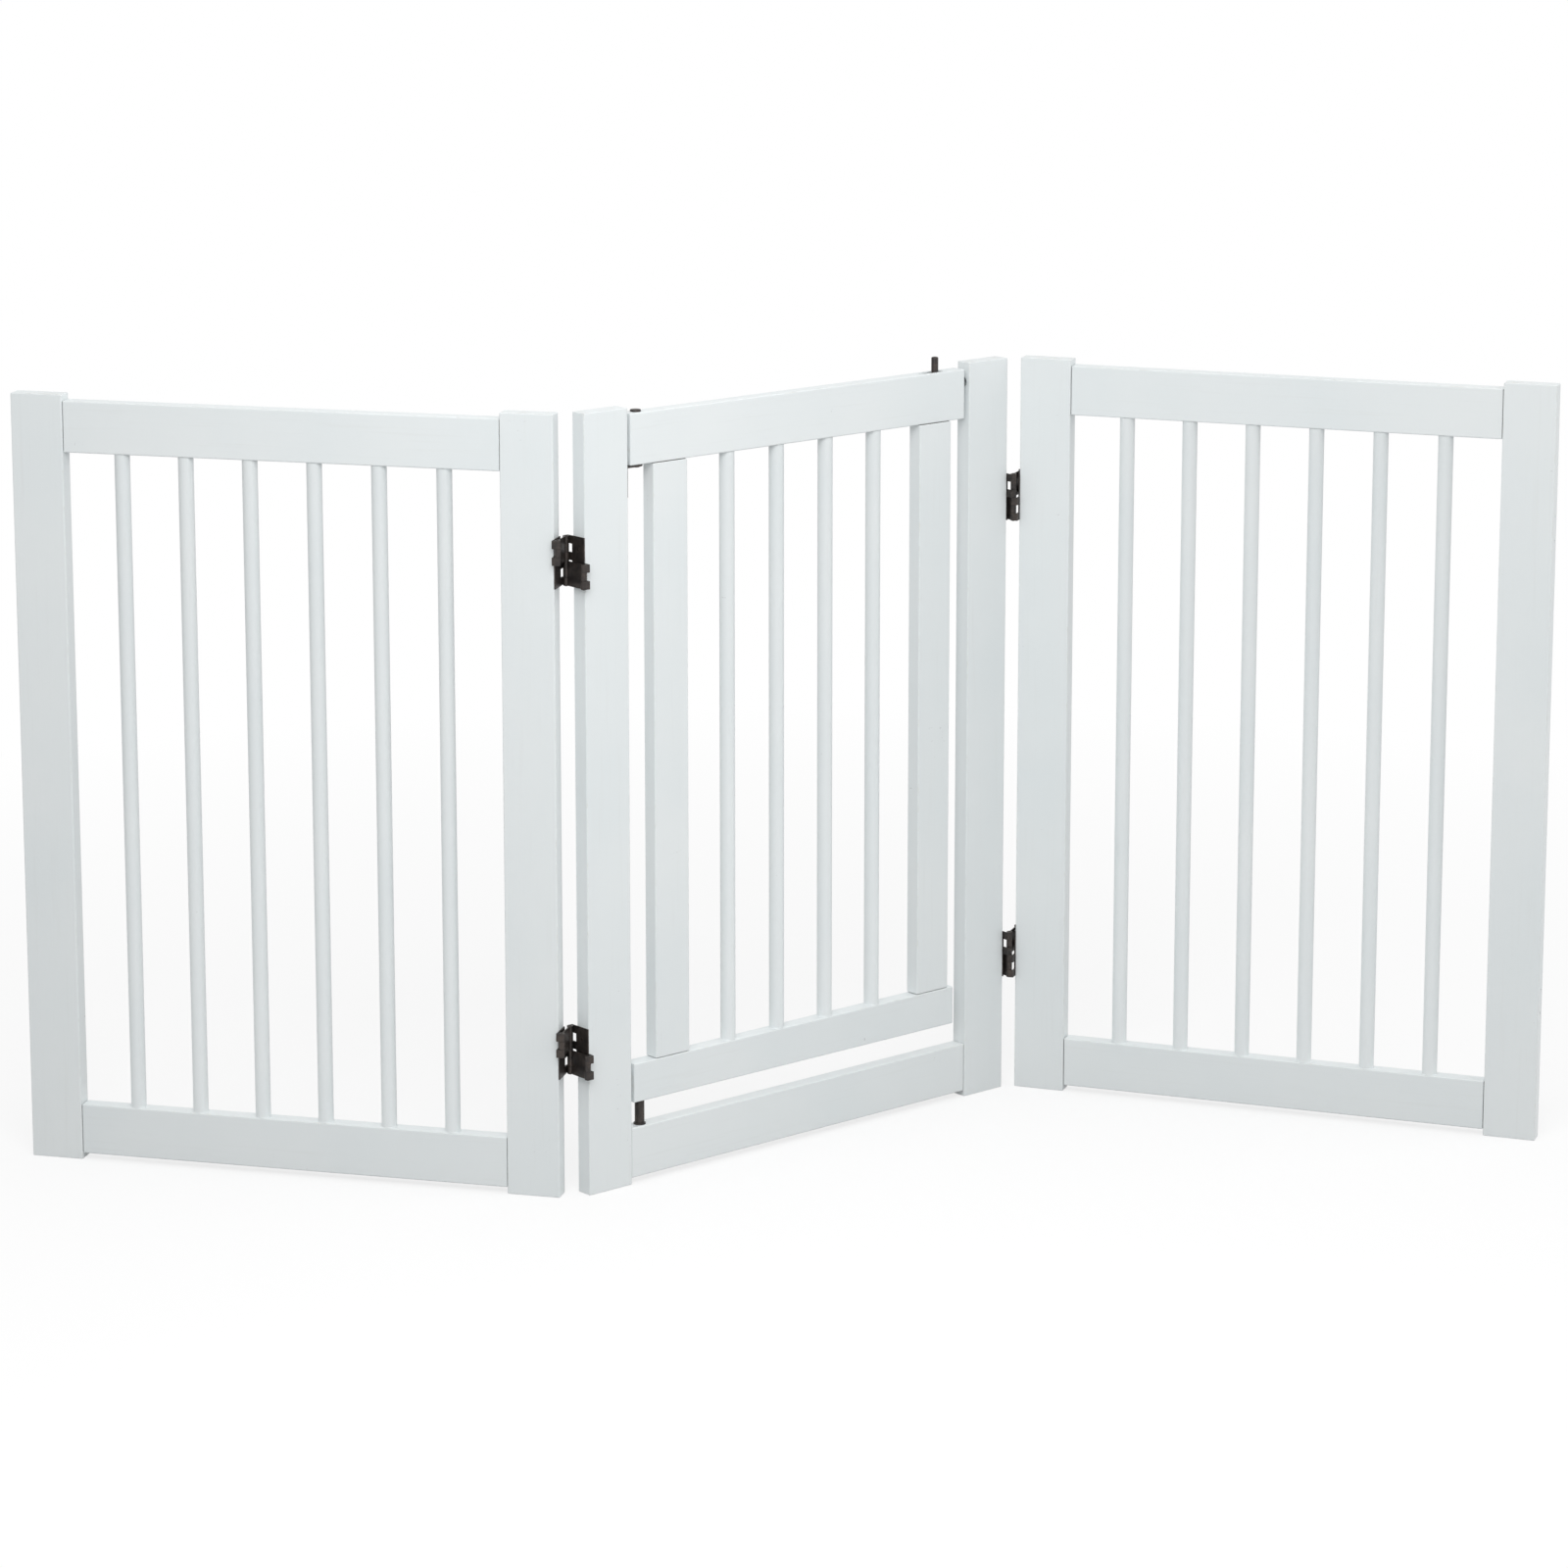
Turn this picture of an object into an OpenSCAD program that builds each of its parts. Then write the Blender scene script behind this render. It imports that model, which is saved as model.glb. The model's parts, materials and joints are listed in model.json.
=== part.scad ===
// Folding pet gate of three slatted panels, with a latched door in the middle one.
// Units are millimetres and +Z is up.
// The origin is on the floor, under the middle of the box round the folded gate.
// The middle panel lies along X, and its rear face looks to +Y.

/* [Panels] */
// Length of each panel from post to post
panel_w = 543; // [500:1:700]
// Height of the posts
panel_h = 762; // [600:1:950]
// Width of each post, seen from the front
post_w = 52.5; // [46:0.5:62]
// Thickness of the posts
post_t = 18; // [17:0.5:22]
// How much thinner the rails and stiles are than the posts
rail_set_back = 2; // [2:0.5:4]
// Height of the rails
rail_h = 50; // [42:1:60]
// How far the posts stand out above and below the rails
post_over = 6; // [3:0.5:14]
// Chamfer along the long edges of the boards
ease = 1; // [0.5:0.1:1]

/* [Spindles] */
// Diameter of the round spindles
spindle_d = 15; // [12:0.5:15.5]
// Diameter of the tenon at each end of a spindle
tenon_d = 10; // [7:0.5:10.5]
// Length of each tenon
tenon_l = 12; // [8:1:18]

/* [Door] */
// Gap between the door and the post that carries it
door_gap_pivot = 4; // [3:0.5:6]
// Gap between the door and the post that it latches to
door_gap_latch = 6; // [4:0.5:10]
// How much shorter the door's lower rail is at the latch end
door_low_short = 10; // [0:1:16]
// Height of the door's lower rail
door_low_h = 39; // [36:1:48]
// Gap under the door's lower rail
door_lift = 25; // [15:1:40]
// Width of the door's two flat stiles
stile_w = 42; // [34:1:50]
// Distance from the rail's end to the stile, at the pivot
stile_in_pivot = 27.5; // [24:0.5:40]
// Distance from the rail's end to the stile, at the latch
stile_in_latch = 17.5; // [16:0.5:30]
// Distance from the post's face to the line that the door turns on
pivot_in = 16.5; // [15:0.5:18]

/* [Latch] */
// Diameter of the sliding bolt
bolt_d = 8; // [6:0.5:9]
// Depth of the bolt's middle under the top of the rail
bolt_down = 14; // [11:0.5:20]
// How far the bolt stands out of the rail as drawn
bolt_out = 5; // [2:0.5:5]
// How far the bolt slides back from where it is drawn
bolt_back = 16; // [8:1:18]
// How far the bolt slides out from where it is drawn
bolt_forth = 5; // [3:0.5:8]
// Diameter of the knob
knob_d = 7; // [6:0.5:9]
// Height of the knob above the rail
knob_h = 15; // [10:1:25]
// Distance from the rail's end to the middle of the knob
knob_in = 33; // [26:1:40]

/* [Hinges] */
// Gap between two panels that stand in line
hinge_gap = 10; // [9:0.5:14]
// How far each hinge axis lies outside the face of the post
axis_out = 4.5; // [4:0.25:6]
// Height of a hinge
hinge_h = 48; // [42:1:66]
// Distance from the top or bottom of a post to the middle of a hinge
hinge_in = 142; // [100:1:180]
// Outside diameter of a hinge barrel
barrel_d = 6; // [5:0.25:6]
// Diameter of a hinge pin
hinge_pin_d = 3; // [2.5:0.25:3.5]
// Thickness of the hinge plates
leaf_t = 1.2; // [1:0.1:1.6]
// Distance between the two screws of a leaf
screw_pitch = 24; // [20:1:30]
// Turn of the left panel out of line, towards the rear
fold_left = 54.8; // [0:0.1:120]
// Turn of the right panel out of line, towards the front
fold_right = 60.6; // [0:0.1:120]

/* [Hidden] */
$fn = 48;
paint = [0.87, 0.89, 0.9];
bare_wood = [0.8, 0.66, 0.48];
dark_metal = [0.12, 0.11, 0.11];
fit = 0.05;
hair = 0.3;
rail_t = post_t - rail_set_back;
rail_l = panel_w - 2 * post_w;
top_rail_z = panel_h - post_over - rail_h;
spindle_top = top_rail_z;
spindle_foot = post_over + rail_h;
side_spindles = 6;
door_spindles = 4;
side_clear = (rail_l - side_spindles * spindle_d) / (side_spindles + 1);

// Dowels, two in each joint
dowel_d = 8;
dowel_half = 18;
dowel_pitch = 16;

// Hinge layout: every hinge has one axis in front of the wood and one behind it
axis_y = post_t / 2 + axis_out;
hinge_x = panel_w / 2 + hinge_gap / 2;
half_h = hinge_h / 2;
knuckle_h = half_h / 3;
slip = 0.1;
link_clear = 0.4;
barrel_r = barrel_d / 2;
pin_r = hinge_pin_d / 2;
pin_out = 0.6;
hinge_levels = [hinge_in, panel_h - hinge_in];
screw_r = 1.6;
screw_head_r = 3;
screw_l = 16;
pilot_r = 1.25;

// The box round the folded gate, which fixes the origin
reach = panel_w + hinge_gap / 2;
x_low = -hinge_x - reach * cos(fold_left) - (axis_y + post_t / 2) * sin(fold_left);
x_high = hinge_x + reach * cos(fold_right) + (axis_y + post_t / 2) * sin(fold_right);
y_high = axis_y + reach * sin(fold_left) - axis_out * cos(fold_left);
y_low = -axis_y - reach * sin(fold_right) + axis_out * cos(fold_right);
shift = [-(x_low + x_high) / 2, -(y_low + y_high) / 2, 0];

// Door layout, measured along X from the middle of the doorway
door_left = -rail_l / 2 + door_gap_pivot;
door_right = rail_l / 2 - door_gap_latch;
door_low_right = door_right - door_low_short;
pivot_x = -rail_l / 2 + pivot_in;
door_low_z = spindle_foot + door_lift;
door_foot = door_low_z + door_low_h;
left_stile_x = door_left + stile_in_pivot;
right_stile_x = door_right - stile_in_latch - stile_w;
door_clear_w = right_stile_x - left_stile_x - stile_w;
door_clear = (door_clear_w - door_spindles * spindle_d) / (door_spindles + 1);
stile_dowel_pitch = stile_w / 2;

// Door furniture
top_pin_r = 4;
top_pin_head_r = 5.25;
top_pin_head_h = 2;
low_pin_r = 4.75;
low_pin_spare = 3;
low_pin_deep = (rail_h - dowel_pitch - dowel_d) / 2 - low_pin_spare;
low_pin_rise = 22;
low_pin_flange_r = 6;
low_pin_flange_h = 1.5;
bracket_t = 2;
bracket_w = 13;
bracket_drop = 30;
bracket_top = top_rail_z - hair;
bracket_screw_pitch = 14;
bracket_screw_r = 1.4;
bracket_head_r = 2.6;
bracket_head_h = 1;
bracket_screw_low = 2;
knob_x = door_right - knob_in;
bolt_z = panel_h - post_over - bolt_down;
bolt_tip = door_right + bolt_out;
bolt_behind_knob = 16;
bolt_tail = knob_x - bolt_behind_knob;
bolt_fit = 0.08;
bolt_bore_r = bolt_d / 2 + bolt_fit;
knob_stem_r = 2;
slot_w = knob_d + 1;
keeper_fit = 0.5;
keeper_spare = 4;
keeper_r = bolt_d / 2 + keeper_fit;
keeper_deep = bolt_out + bolt_forth + keeper_spare;

// ---------- places ----------

// The middle panel, with X measured from the middle of the doorway
module at_centre() {
  translate(shift) children();
}

// A side panel, with X measured outward from its hinged end
module at_side(turn, fold) {
  translate(shift)
    rotate([0, 0, turn])
      translate([hinge_x, -axis_y, 0])
        rotate([0, 0, -fold])
          translate([hinge_gap / 2, axis_y, 0])
            children();
}

module at_left() {
  at_side(180, fold_left) children();
}

module at_right() {
  at_side(0, fold_right) children();
}

// ---------- boards ----------

module eased_rect(w, t) {
  x = w / 2;
  y = t / 2;
  polygon([
    [-x + ease, -y], [x - ease, -y], [x, -y + ease], [x, y - ease],
    [x - ease, y], [-x + ease, y], [-x, y - ease], [-x, -y + ease]
  ]);
}

// An upright board from z = 0, standing on X from x0 to x0 + w
module upright(x0, w, t, h) {
  translate([x0 + w / 2, 0, 0])
    linear_extrude(height = h)
      eased_rect(w, t);
}

// A level board from x0 to x0 + l, with its underside at z = 0
module level(x0, l, h) {
  translate([x0, 0, h / 2])
    rotate([90, 0, 90])
      linear_extrude(height = l)
        eased_rect(rail_t, h);
}

// A hole or dowel along X from x0
module along_x(x0, l, r) {
  translate([x0, 0, 0])
    rotate([0, 90, 0])
      cylinder(h = l, r = r);
}

// ---------- dowels between rails and posts ----------

// The two dowels of a joint whose face is at x = 0, or their holes when grow is above 0
module dowel_pair(grow) {
  for (side = [-1, 1]) {
    translate([0, 0, side * dowel_pitch / 2])
      along_x(-dowel_half - grow, 2 * (dowel_half + grow), dowel_d / 2 + grow);
  }
}

// The dowels of both rails at both ends of a panel whose rails run from x0
module rail_dowels(x0, low_only, grow) {
  levels = low_only ? [post_over] : [post_over, top_rail_z];
  for (z = levels) {
    for (x = [x0, x0 + rail_l]) {
      translate([x, 0, z + rail_h / 2])
        dowel_pair(grow);
    }
  }
}

// ---------- side panels ----------

// Screw holes in the hinged edge of a post at x = 0, going into +X
module edge_holes(r) {
  for (z = hinge_levels) {
    for (side = [-1, 1]) {
      translate([0, 0, z + side * screw_pitch / 2])
        along_x(-fit, screw_l + fit, r);
    }
  }
}

module side_inner_post() {
  difference() {
    upright(0, post_w, post_t, panel_h);
    rail_dowels(post_w, false, fit);
    edge_holes(screw_r + fit);
  }
}

module side_outer_post() {
  difference() {
    upright(panel_w - post_w, post_w, post_t, panel_h);
    rail_dowels(post_w, false, fit);
    translate([panel_w, 0, 0])
      mirror([1, 0, 0])
        edge_holes(pilot_r);
  }
}

function side_spindle_x(i) = post_w + i * side_clear + (i - 0.5) * spindle_d;

// Blind holes for the tenons of a side panel's spindles, from z0 up
module side_tenon_holes(z0) {
  for (i = [1 : side_spindles]) {
    translate([side_spindle_x(i), 0, z0])
      cylinder(h = tenon_l + 2 * fit, r = tenon_d / 2 + fit);
  }
}

module side_top_rail() {
  difference() {
    translate([0, 0, top_rail_z])
      level(post_w, rail_l, rail_h);
    rail_dowels(post_w, false, fit);
    side_tenon_holes(top_rail_z - fit);
  }
}

module side_bottom_rail() {
  difference() {
    translate([0, 0, post_over])
      level(post_w, rail_l, rail_h);
    rail_dowels(post_w, false, fit);
    side_tenon_holes(spindle_foot - tenon_l - fit);
  }
}

// A spindle between two levels, with a tenon at each end
module spindle(x, foot, top) {
  translate([x, 0, foot])
    cylinder(h = top - foot, r = spindle_d / 2);
  translate([x, 0, foot - tenon_l])
    cylinder(h = top - foot + 2 * tenon_l, r = tenon_d / 2);
}

module side_spindle(i) {
  spindle(side_spindle_x(i), spindle_foot, spindle_top);
}

// ---------- hinges ----------

// One leaf on a post whose edge is at x = 0; its upper half turns on the axis at up * axis_y
module leaf(up) {
  difference() {
    union() {
      translate([-leaf_t, -post_t / 2, -half_h])
        cube([leaf_t, post_t, hinge_h]);
      for (half = [-1, 1]) {
        for (k = [0, 2]) {
          leaf_knuckle(up * half, half, k);
        }
      }
    }
    for (half = [-1, 1]) {
      translate([-hinge_gap / 2, up * half * axis_y, half > 0 ? 0 : -half_h])
        cylinder(h = half_h, r = pin_r + fit);
    }
    for (side = [-1, 1]) {
      translate([0, 0, side * screw_pitch / 2])
        leaf_screw_hole();
    }
  }
}

// One knuckle of a leaf, the k-th of three in its half, on the rear (1) or front (-1) axis
module leaf_knuckle(rear, half, k) {
  z0 = k * knuckle_h + slip;
  z_low = half > 0 ? z0 : -z0 - knuckle_h + 2 * slip;
  mirror([0, rear > 0 ? 0 : 1, 0])
    translate([0, 0, z_low]) {
      translate([-hinge_gap / 2, axis_y, 0])
        cylinder(h = knuckle_h - 2 * slip, r = barrel_r);
      translate([-leaf_t, post_t / 2 - leaf_t, 0])
        cube([leaf_t, axis_out + barrel_r + leaf_t, knuckle_h - 2 * slip]);
      translate([-hinge_gap / 2, axis_y + barrel_r - leaf_t, 0])
        cube([hinge_gap / 2, leaf_t, knuckle_h - 2 * slip]);
    }
}

module leaf_screw_hole() {
  translate([-leaf_t, 0, 0])
    rotate([0, 90, 0])
      cylinder(h = leaf_t, r1 = screw_head_r + fit, r2 = screw_r + fit);
}

// The link of the upper half, from one axis to the other, at x = 0
module upper_link() {
  difference() {
    union() {
      translate([-leaf_t / 2, -axis_y + barrel_r + link_clear, slip])
        cube([leaf_t, 2 * (axis_y - barrel_r - link_clear), half_h - 2 * slip]);
      translate([-leaf_t / 2, -axis_y, knuckle_h + slip])
        cube([leaf_t, 2 * axis_y, knuckle_h - 2 * slip]);
      for (side = [-1, 1]) {
        translate([0, side * axis_y, knuckle_h + slip])
          cylinder(h = knuckle_h - 2 * slip, r = barrel_r);
      }
    }
    for (side = [-1, 1]) {
      translate([0, side * axis_y, knuckle_h])
        cylinder(h = knuckle_h, r = pin_r + fit);
    }
  }
}

module lower_link() {
  mirror([0, 0, 1]) upper_link();
}

// A pin through all three knuckles of the upper half
module long_pin() {
  translate([0, 0, slip])
    cylinder(h = half_h - slip + pin_out, r = pin_r);
}

// A pin that stays in the two leaf knuckles of the upper half
module short_pins() {
  translate([0, 0, slip])
    cylinder(h = knuckle_h - slip, r = pin_r);
  translate([0, 0, 2 * knuckle_h])
    cylinder(h = knuckle_h + pin_out, r = pin_r);
}

// Both pins that a side panel holds in one hinge
module side_pins() {
  translate([-hinge_gap / 2, axis_y, 0])
    long_pin();
  translate([-hinge_gap / 2, -axis_y, 0])
    mirror([0, 0, 1]) long_pin();
}

// Both pins that the middle panel holds in one hinge, with the post's edge at x = 0
module centre_pins() {
  translate([hinge_gap / 2, -axis_y, 0])
    short_pins();
  translate([hinge_gap / 2, axis_y, 0])
    mirror([0, 0, 1]) long_pin();
}

// A countersunk screw going into +X through a leaf on a post whose edge is at x = 0
module hinge_screw() {
  translate([-leaf_t, 0, 0])
    rotate([0, 90, 0])
      cylinder(h = leaf_t, r1 = screw_head_r, r2 = screw_r);
  along_x(-leaf_t / 2, screw_l - 1, screw_r);
}

module hinge_screws() {
  for (z = hinge_levels) {
    for (side = [-1, 1]) {
      translate([0, 0, z + side * screw_pitch / 2])
        hinge_screw();
    }
  }
}

// Puts what is drawn for a post's edge at x = 0 on an end of the middle panel
module on_centre_end(right) {
  at_centre()
    rotate([0, 0, right ? 0 : 180])
      translate([panel_w / 2, 0, 0])
        children();
}

module centre_leaf(right, z) {
  color(dark_metal)
    on_centre_end(right)
      translate([0, 0, z])
        mirror([1, 0, 0]) leaf(-1);
}

// ---------- middle panel ----------

// A post of the middle panel, drawn at the right-hand end
module centre_post() {
  difference() {
    upright(panel_w / 2 - post_w, post_w, post_t, panel_h);
    rail_dowels(-rail_l / 2, true, fit);
    translate([panel_w / 2, 0, 0])
      mirror([1, 0, 0])
        edge_holes(screw_r + fit);
  }
}

module bracket_screw_holes() {
  for (side = [-1, 1]) {
    translate([-rail_l / 2, 0, bracket_screw_z(side)])
      along_x(-screw_l, screw_l + bracket_t, bracket_screw_r + fit);
  }
}

function bracket_screw_z(side) =
  bracket_top - bracket_drop / 2 - bracket_screw_low + side * bracket_screw_pitch / 2;

module centre_left_post() {
  color(paint)
    at_centre()
      difference() {
        rotate([0, 0, 180]) centre_post();
        bracket_screw_holes();
      }
}

module centre_right_post() {
  color(paint)
    at_centre()
      difference() {
        centre_post();
        translate([0, 0, bolt_z])
          along_x(rail_l / 2 - fit, keeper_deep + fit, keeper_r);
      }
}

module threshold_rail() {
  color(paint)
    at_centre()
      difference() {
        translate([0, 0, post_over])
          level(-rail_l / 2, rail_l, rail_h);
        rail_dowels(-rail_l / 2, true, fit);
        translate([pivot_x, 0, spindle_foot - low_pin_deep])
          cylinder(h = low_pin_deep + 1, r = low_pin_r + fit);
      }
}

module centre_dowels() {
  color(bare_wood)
    at_centre()
      rail_dowels(-rail_l / 2, true, 0);
}

module centre_left_top_leaf() {
  centre_leaf(false, panel_h - hinge_in);
}

module centre_left_low_leaf() {
  centre_leaf(false, hinge_in);
}

module centre_right_top_leaf() {
  centre_leaf(true, panel_h - hinge_in);
}

module centre_right_low_leaf() {
  centre_leaf(true, hinge_in);
}

module centre_hinge_pins() {
  color(dark_metal)
    for (right = [false, true]) {
      on_centre_end(right)
        for (z = hinge_levels) {
          translate([0, 0, z]) centre_pins();
        }
    }
}

module centre_hinge_screws() {
  color(dark_metal)
    for (right = [false, true]) {
      on_centre_end(right)
        mirror([1, 0, 0]) hinge_screws();
    }
}

// The angle bracket under the end of the door's top rail
module pivot_bracket() {
  color(dark_metal)
    at_centre()
      translate([-rail_l / 2, 0, 0])
        difference() {
          union() {
            translate([0, -bracket_w / 2, bracket_top - bracket_t])
              cube([pivot_in, bracket_w, bracket_t]);
            translate([pivot_in, 0, bracket_top - bracket_t])
              cylinder(h = bracket_t, r = bracket_w / 2);
            translate([0, -bracket_w / 2, bracket_top - bracket_drop])
              cube([bracket_t, bracket_w, bracket_drop]);
          }
          translate([pivot_in, 0, bracket_top - bracket_t - 1])
            cylinder(h = bracket_t + 2, r = top_pin_r + fit);
          for (side = [-1, 1]) {
            translate([0, 0, bracket_screw_z(side)])
              along_x(-1, bracket_t + 2, bracket_screw_r + fit);
          }
        }
}

module bracket_screws() {
  color(dark_metal)
    at_centre()
      for (side = [-1, 1]) {
        translate([-rail_l / 2 + bracket_t, 0, bracket_screw_z(side)]) {
          along_x(-screw_l, screw_l, bracket_screw_r);
          along_x(0, bracket_head_h, bracket_head_r);
        }
      }
}

module low_pivot_pin() {
  color(dark_metal)
    at_centre() {
      translate([pivot_x, 0, spindle_foot - low_pin_deep])
        cylinder(h = low_pin_deep + door_lift + low_pin_rise, r = low_pin_r);
      translate([pivot_x, 0, spindle_foot])
        cylinder(h = low_pin_flange_h, r = low_pin_flange_r);
    }
}

// ---------- door ----------

function door_spindle_x(i) = left_stile_x + stile_w + i * door_clear + (i - 0.5) * spindle_d;

module door_tenon_holes(z0) {
  for (i = [1 : door_spindles]) {
    translate([door_spindle_x(i), 0, z0])
      cylinder(h = tenon_l + 2 * fit, r = tenon_d / 2 + fit);
  }
}

// The upright dowels between the stiles and the rails, or their holes when grow is above 0
module stile_dowels(grow) {
  for (x = [left_stile_x, right_stile_x]) {
    for (z = [door_foot, top_rail_z]) {
      for (side = [-1, 1]) {
        translate([x + stile_w / 2 + side * stile_dowel_pitch / 2, 0, z - dowel_half - grow])
          cylinder(h = 2 * (dowel_half + grow), r = dowel_d / 2 + grow);
      }
    }
  }
}

module door_top_rail() {
  color(paint)
    at_centre()
      difference() {
        translate([0, 0, top_rail_z])
          level(door_left, door_right - door_left, rail_h);
        stile_dowels(fit);
        door_tenon_holes(top_rail_z - fit);
        translate([pivot_x, 0, top_rail_z - 1])
          cylinder(h = rail_h + 2, r = top_pin_r + fit);
        translate([0, 0, bolt_z])
          along_x(bolt_tail - bolt_back - 1, panel_w / 2, bolt_bore_r);
        knob_slot();
      }
}

// The slot in the rail's top face, from the bolt's bore up
module knob_slot() {
  x_back = knob_x - bolt_back - slot_w / 2;
  x_front = knob_x + bolt_forth + slot_w / 2;
  translate([x_back, -slot_w / 2, bolt_z])
    cube([x_front - x_back, slot_w, bolt_down + 1]);
}

module door_low_rail() {
  color(paint)
    at_centre()
      difference() {
        translate([0, 0, door_low_z])
          level(door_left, door_low_right - door_left, door_low_h);
        stile_dowels(fit);
        door_tenon_holes(door_foot - tenon_l - fit);
        translate([pivot_x, 0, door_low_z - 1])
          cylinder(h = low_pin_rise + 1, r = low_pin_r + fit);
      }
}

module door_stile(x0) {
  color(paint)
    at_centre()
      difference() {
        translate([0, 0, door_foot])
          upright(x0, stile_w, rail_t, top_rail_z - door_foot);
        stile_dowels(fit);
      }
}

module door_left_stile() {
  door_stile(left_stile_x);
}

module door_right_stile() {
  door_stile(right_stile_x);
}

module door_spindle(i) {
  color(paint)
    at_centre()
      spindle(door_spindle_x(i), door_foot, spindle_top);
}

module door_spindle_1() door_spindle(1);
module door_spindle_2() door_spindle(2);
module door_spindle_3() door_spindle(3);
module door_spindle_4() door_spindle(4);

module door_dowels() {
  color(bare_wood)
    at_centre()
      stile_dowels(0);
}

module top_pivot_pin() {
  color(dark_metal)
    at_centre() {
      translate([pivot_x, 0, bracket_top - bracket_t - 1])
        cylinder(h = rail_h + hair + bracket_t + 1, r = top_pin_r);
      translate([pivot_x, 0, panel_h - post_over])
        cylinder(h = top_pin_head_h, r = top_pin_head_r);
    }
}

module latch_bolt() {
  color(dark_metal)
    at_centre()
      difference() {
        translate([0, 0, bolt_z])
          along_x(bolt_tail, bolt_tip - bolt_tail, bolt_d / 2);
        translate([knob_x, 0, bolt_z])
          cylinder(h = bolt_d, r = knob_stem_r + fit);
      }
}

module latch_knob() {
  color(dark_metal)
    at_centre() {
      translate([knob_x, 0, bolt_z])
        cylinder(h = bolt_down, r = knob_stem_r);
      translate([knob_x, 0, bolt_z + bolt_d / 2 + hair])
        cylinder(h = bolt_down - bolt_d / 2 - hair + knob_h, r = knob_d / 2);
    }
}

// ---------- links of the hinges ----------

module left_lower_links() {
  color(dark_metal)
    on_centre_end(false)
      for (z = hinge_levels) {
        translate([hinge_gap / 2, 0, z]) lower_link();
      }
}

module right_lower_links() {
  color(dark_metal)
    on_centre_end(true)
      for (z = hinge_levels) {
        translate([hinge_gap / 2, 0, z]) lower_link();
      }
}

module side_upper_links() {
  color(dark_metal)
    for (z = hinge_levels) {
      translate([-hinge_gap / 2, 0, z]) upper_link();
    }
}

module left_upper_links() {
  at_left() side_upper_links();
}

module right_upper_links() {
  at_right() side_upper_links();
}

// ---------- hinge parts that side panels carry ----------

module side_leaf(z) {
  color(dark_metal)
    translate([0, 0, z]) leaf(1);
}

module side_hinge_pins() {
  color(dark_metal)
    for (z = hinge_levels) {
      translate([0, 0, z]) side_pins();
    }
}

// ---------- left panel ----------

module left_inner_post() color(paint) at_left() side_inner_post();
module left_outer_post() color(paint) at_left() side_outer_post();
module left_top_rail() color(paint) at_left() side_top_rail();
module left_bottom_rail() color(paint) at_left() side_bottom_rail();
module left_spindle_1() color(paint) at_left() side_spindle(1);
module left_spindle_2() color(paint) at_left() side_spindle(2);
module left_spindle_3() color(paint) at_left() side_spindle(3);
module left_spindle_4() color(paint) at_left() side_spindle(4);
module left_spindle_5() color(paint) at_left() side_spindle(5);
module left_spindle_6() color(paint) at_left() side_spindle(6);
module left_dowels() color(bare_wood) at_left() rail_dowels(post_w, false, 0);
module left_top_leaf() at_left() side_leaf(panel_h - hinge_in);
module left_low_leaf() at_left() side_leaf(hinge_in);
module left_hinge_pins() at_left() side_hinge_pins();
module left_hinge_screws() color(dark_metal) at_left() hinge_screws();

// ---------- right panel ----------

module right_inner_post() color(paint) at_right() side_inner_post();
module right_outer_post() color(paint) at_right() side_outer_post();
module right_top_rail() color(paint) at_right() side_top_rail();
module right_bottom_rail() color(paint) at_right() side_bottom_rail();
module right_spindle_1() color(paint) at_right() side_spindle(1);
module right_spindle_2() color(paint) at_right() side_spindle(2);
module right_spindle_3() color(paint) at_right() side_spindle(3);
module right_spindle_4() color(paint) at_right() side_spindle(4);
module right_spindle_5() color(paint) at_right() side_spindle(5);
module right_spindle_6() color(paint) at_right() side_spindle(6);
module right_dowels() color(bare_wood) at_right() rail_dowels(post_w, false, 0);
module right_top_leaf() at_right() side_leaf(panel_h - hinge_in);
module right_low_leaf() at_right() side_leaf(hinge_in);
module right_hinge_pins() at_right() side_hinge_pins();
module right_hinge_screws() color(dark_metal) at_right() hinge_screws();

// ---------- what is drawn ----------

centre_left_post();
centre_right_post();
threshold_rail();
centre_dowels();
centre_left_top_leaf();
centre_left_low_leaf();
centre_right_top_leaf();
centre_right_low_leaf();
centre_hinge_pins();
centre_hinge_screws();
pivot_bracket();
bracket_screws();
low_pivot_pin();
door_top_rail();
door_low_rail();
door_left_stile();
door_right_stile();
door_spindle_1();
door_spindle_2();
door_spindle_3();
door_spindle_4();
door_dowels();
top_pivot_pin();
latch_bolt();
latch_knob();
left_lower_links();
left_upper_links();
right_lower_links();
right_upper_links();
left_inner_post();
left_outer_post();
left_top_rail();
left_bottom_rail();
left_spindle_1();
left_spindle_2();
left_spindle_3();
left_spindle_4();
left_spindle_5();
left_spindle_6();
left_dowels();
left_top_leaf();
left_low_leaf();
left_hinge_pins();
left_hinge_screws();
right_inner_post();
right_outer_post();
right_top_rail();
right_bottom_rail();
right_spindle_1();
right_spindle_2();
right_spindle_3();
right_spindle_4();
right_spindle_5();
right_spindle_6();
right_dowels();
right_top_leaf();
right_low_leaf();
right_hinge_pins();
right_hinge_screws();
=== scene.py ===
"""Looks of a folding pet gate: painted boards, turned spindles, black fittings, a pale studio."""

import json
import math

import bmesh
import bpy
import numpy as np
from bpy.props import FloatProperty, FloatVectorProperty, IntProperty, PointerProperty
from mathutils import Matrix, Vector


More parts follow.
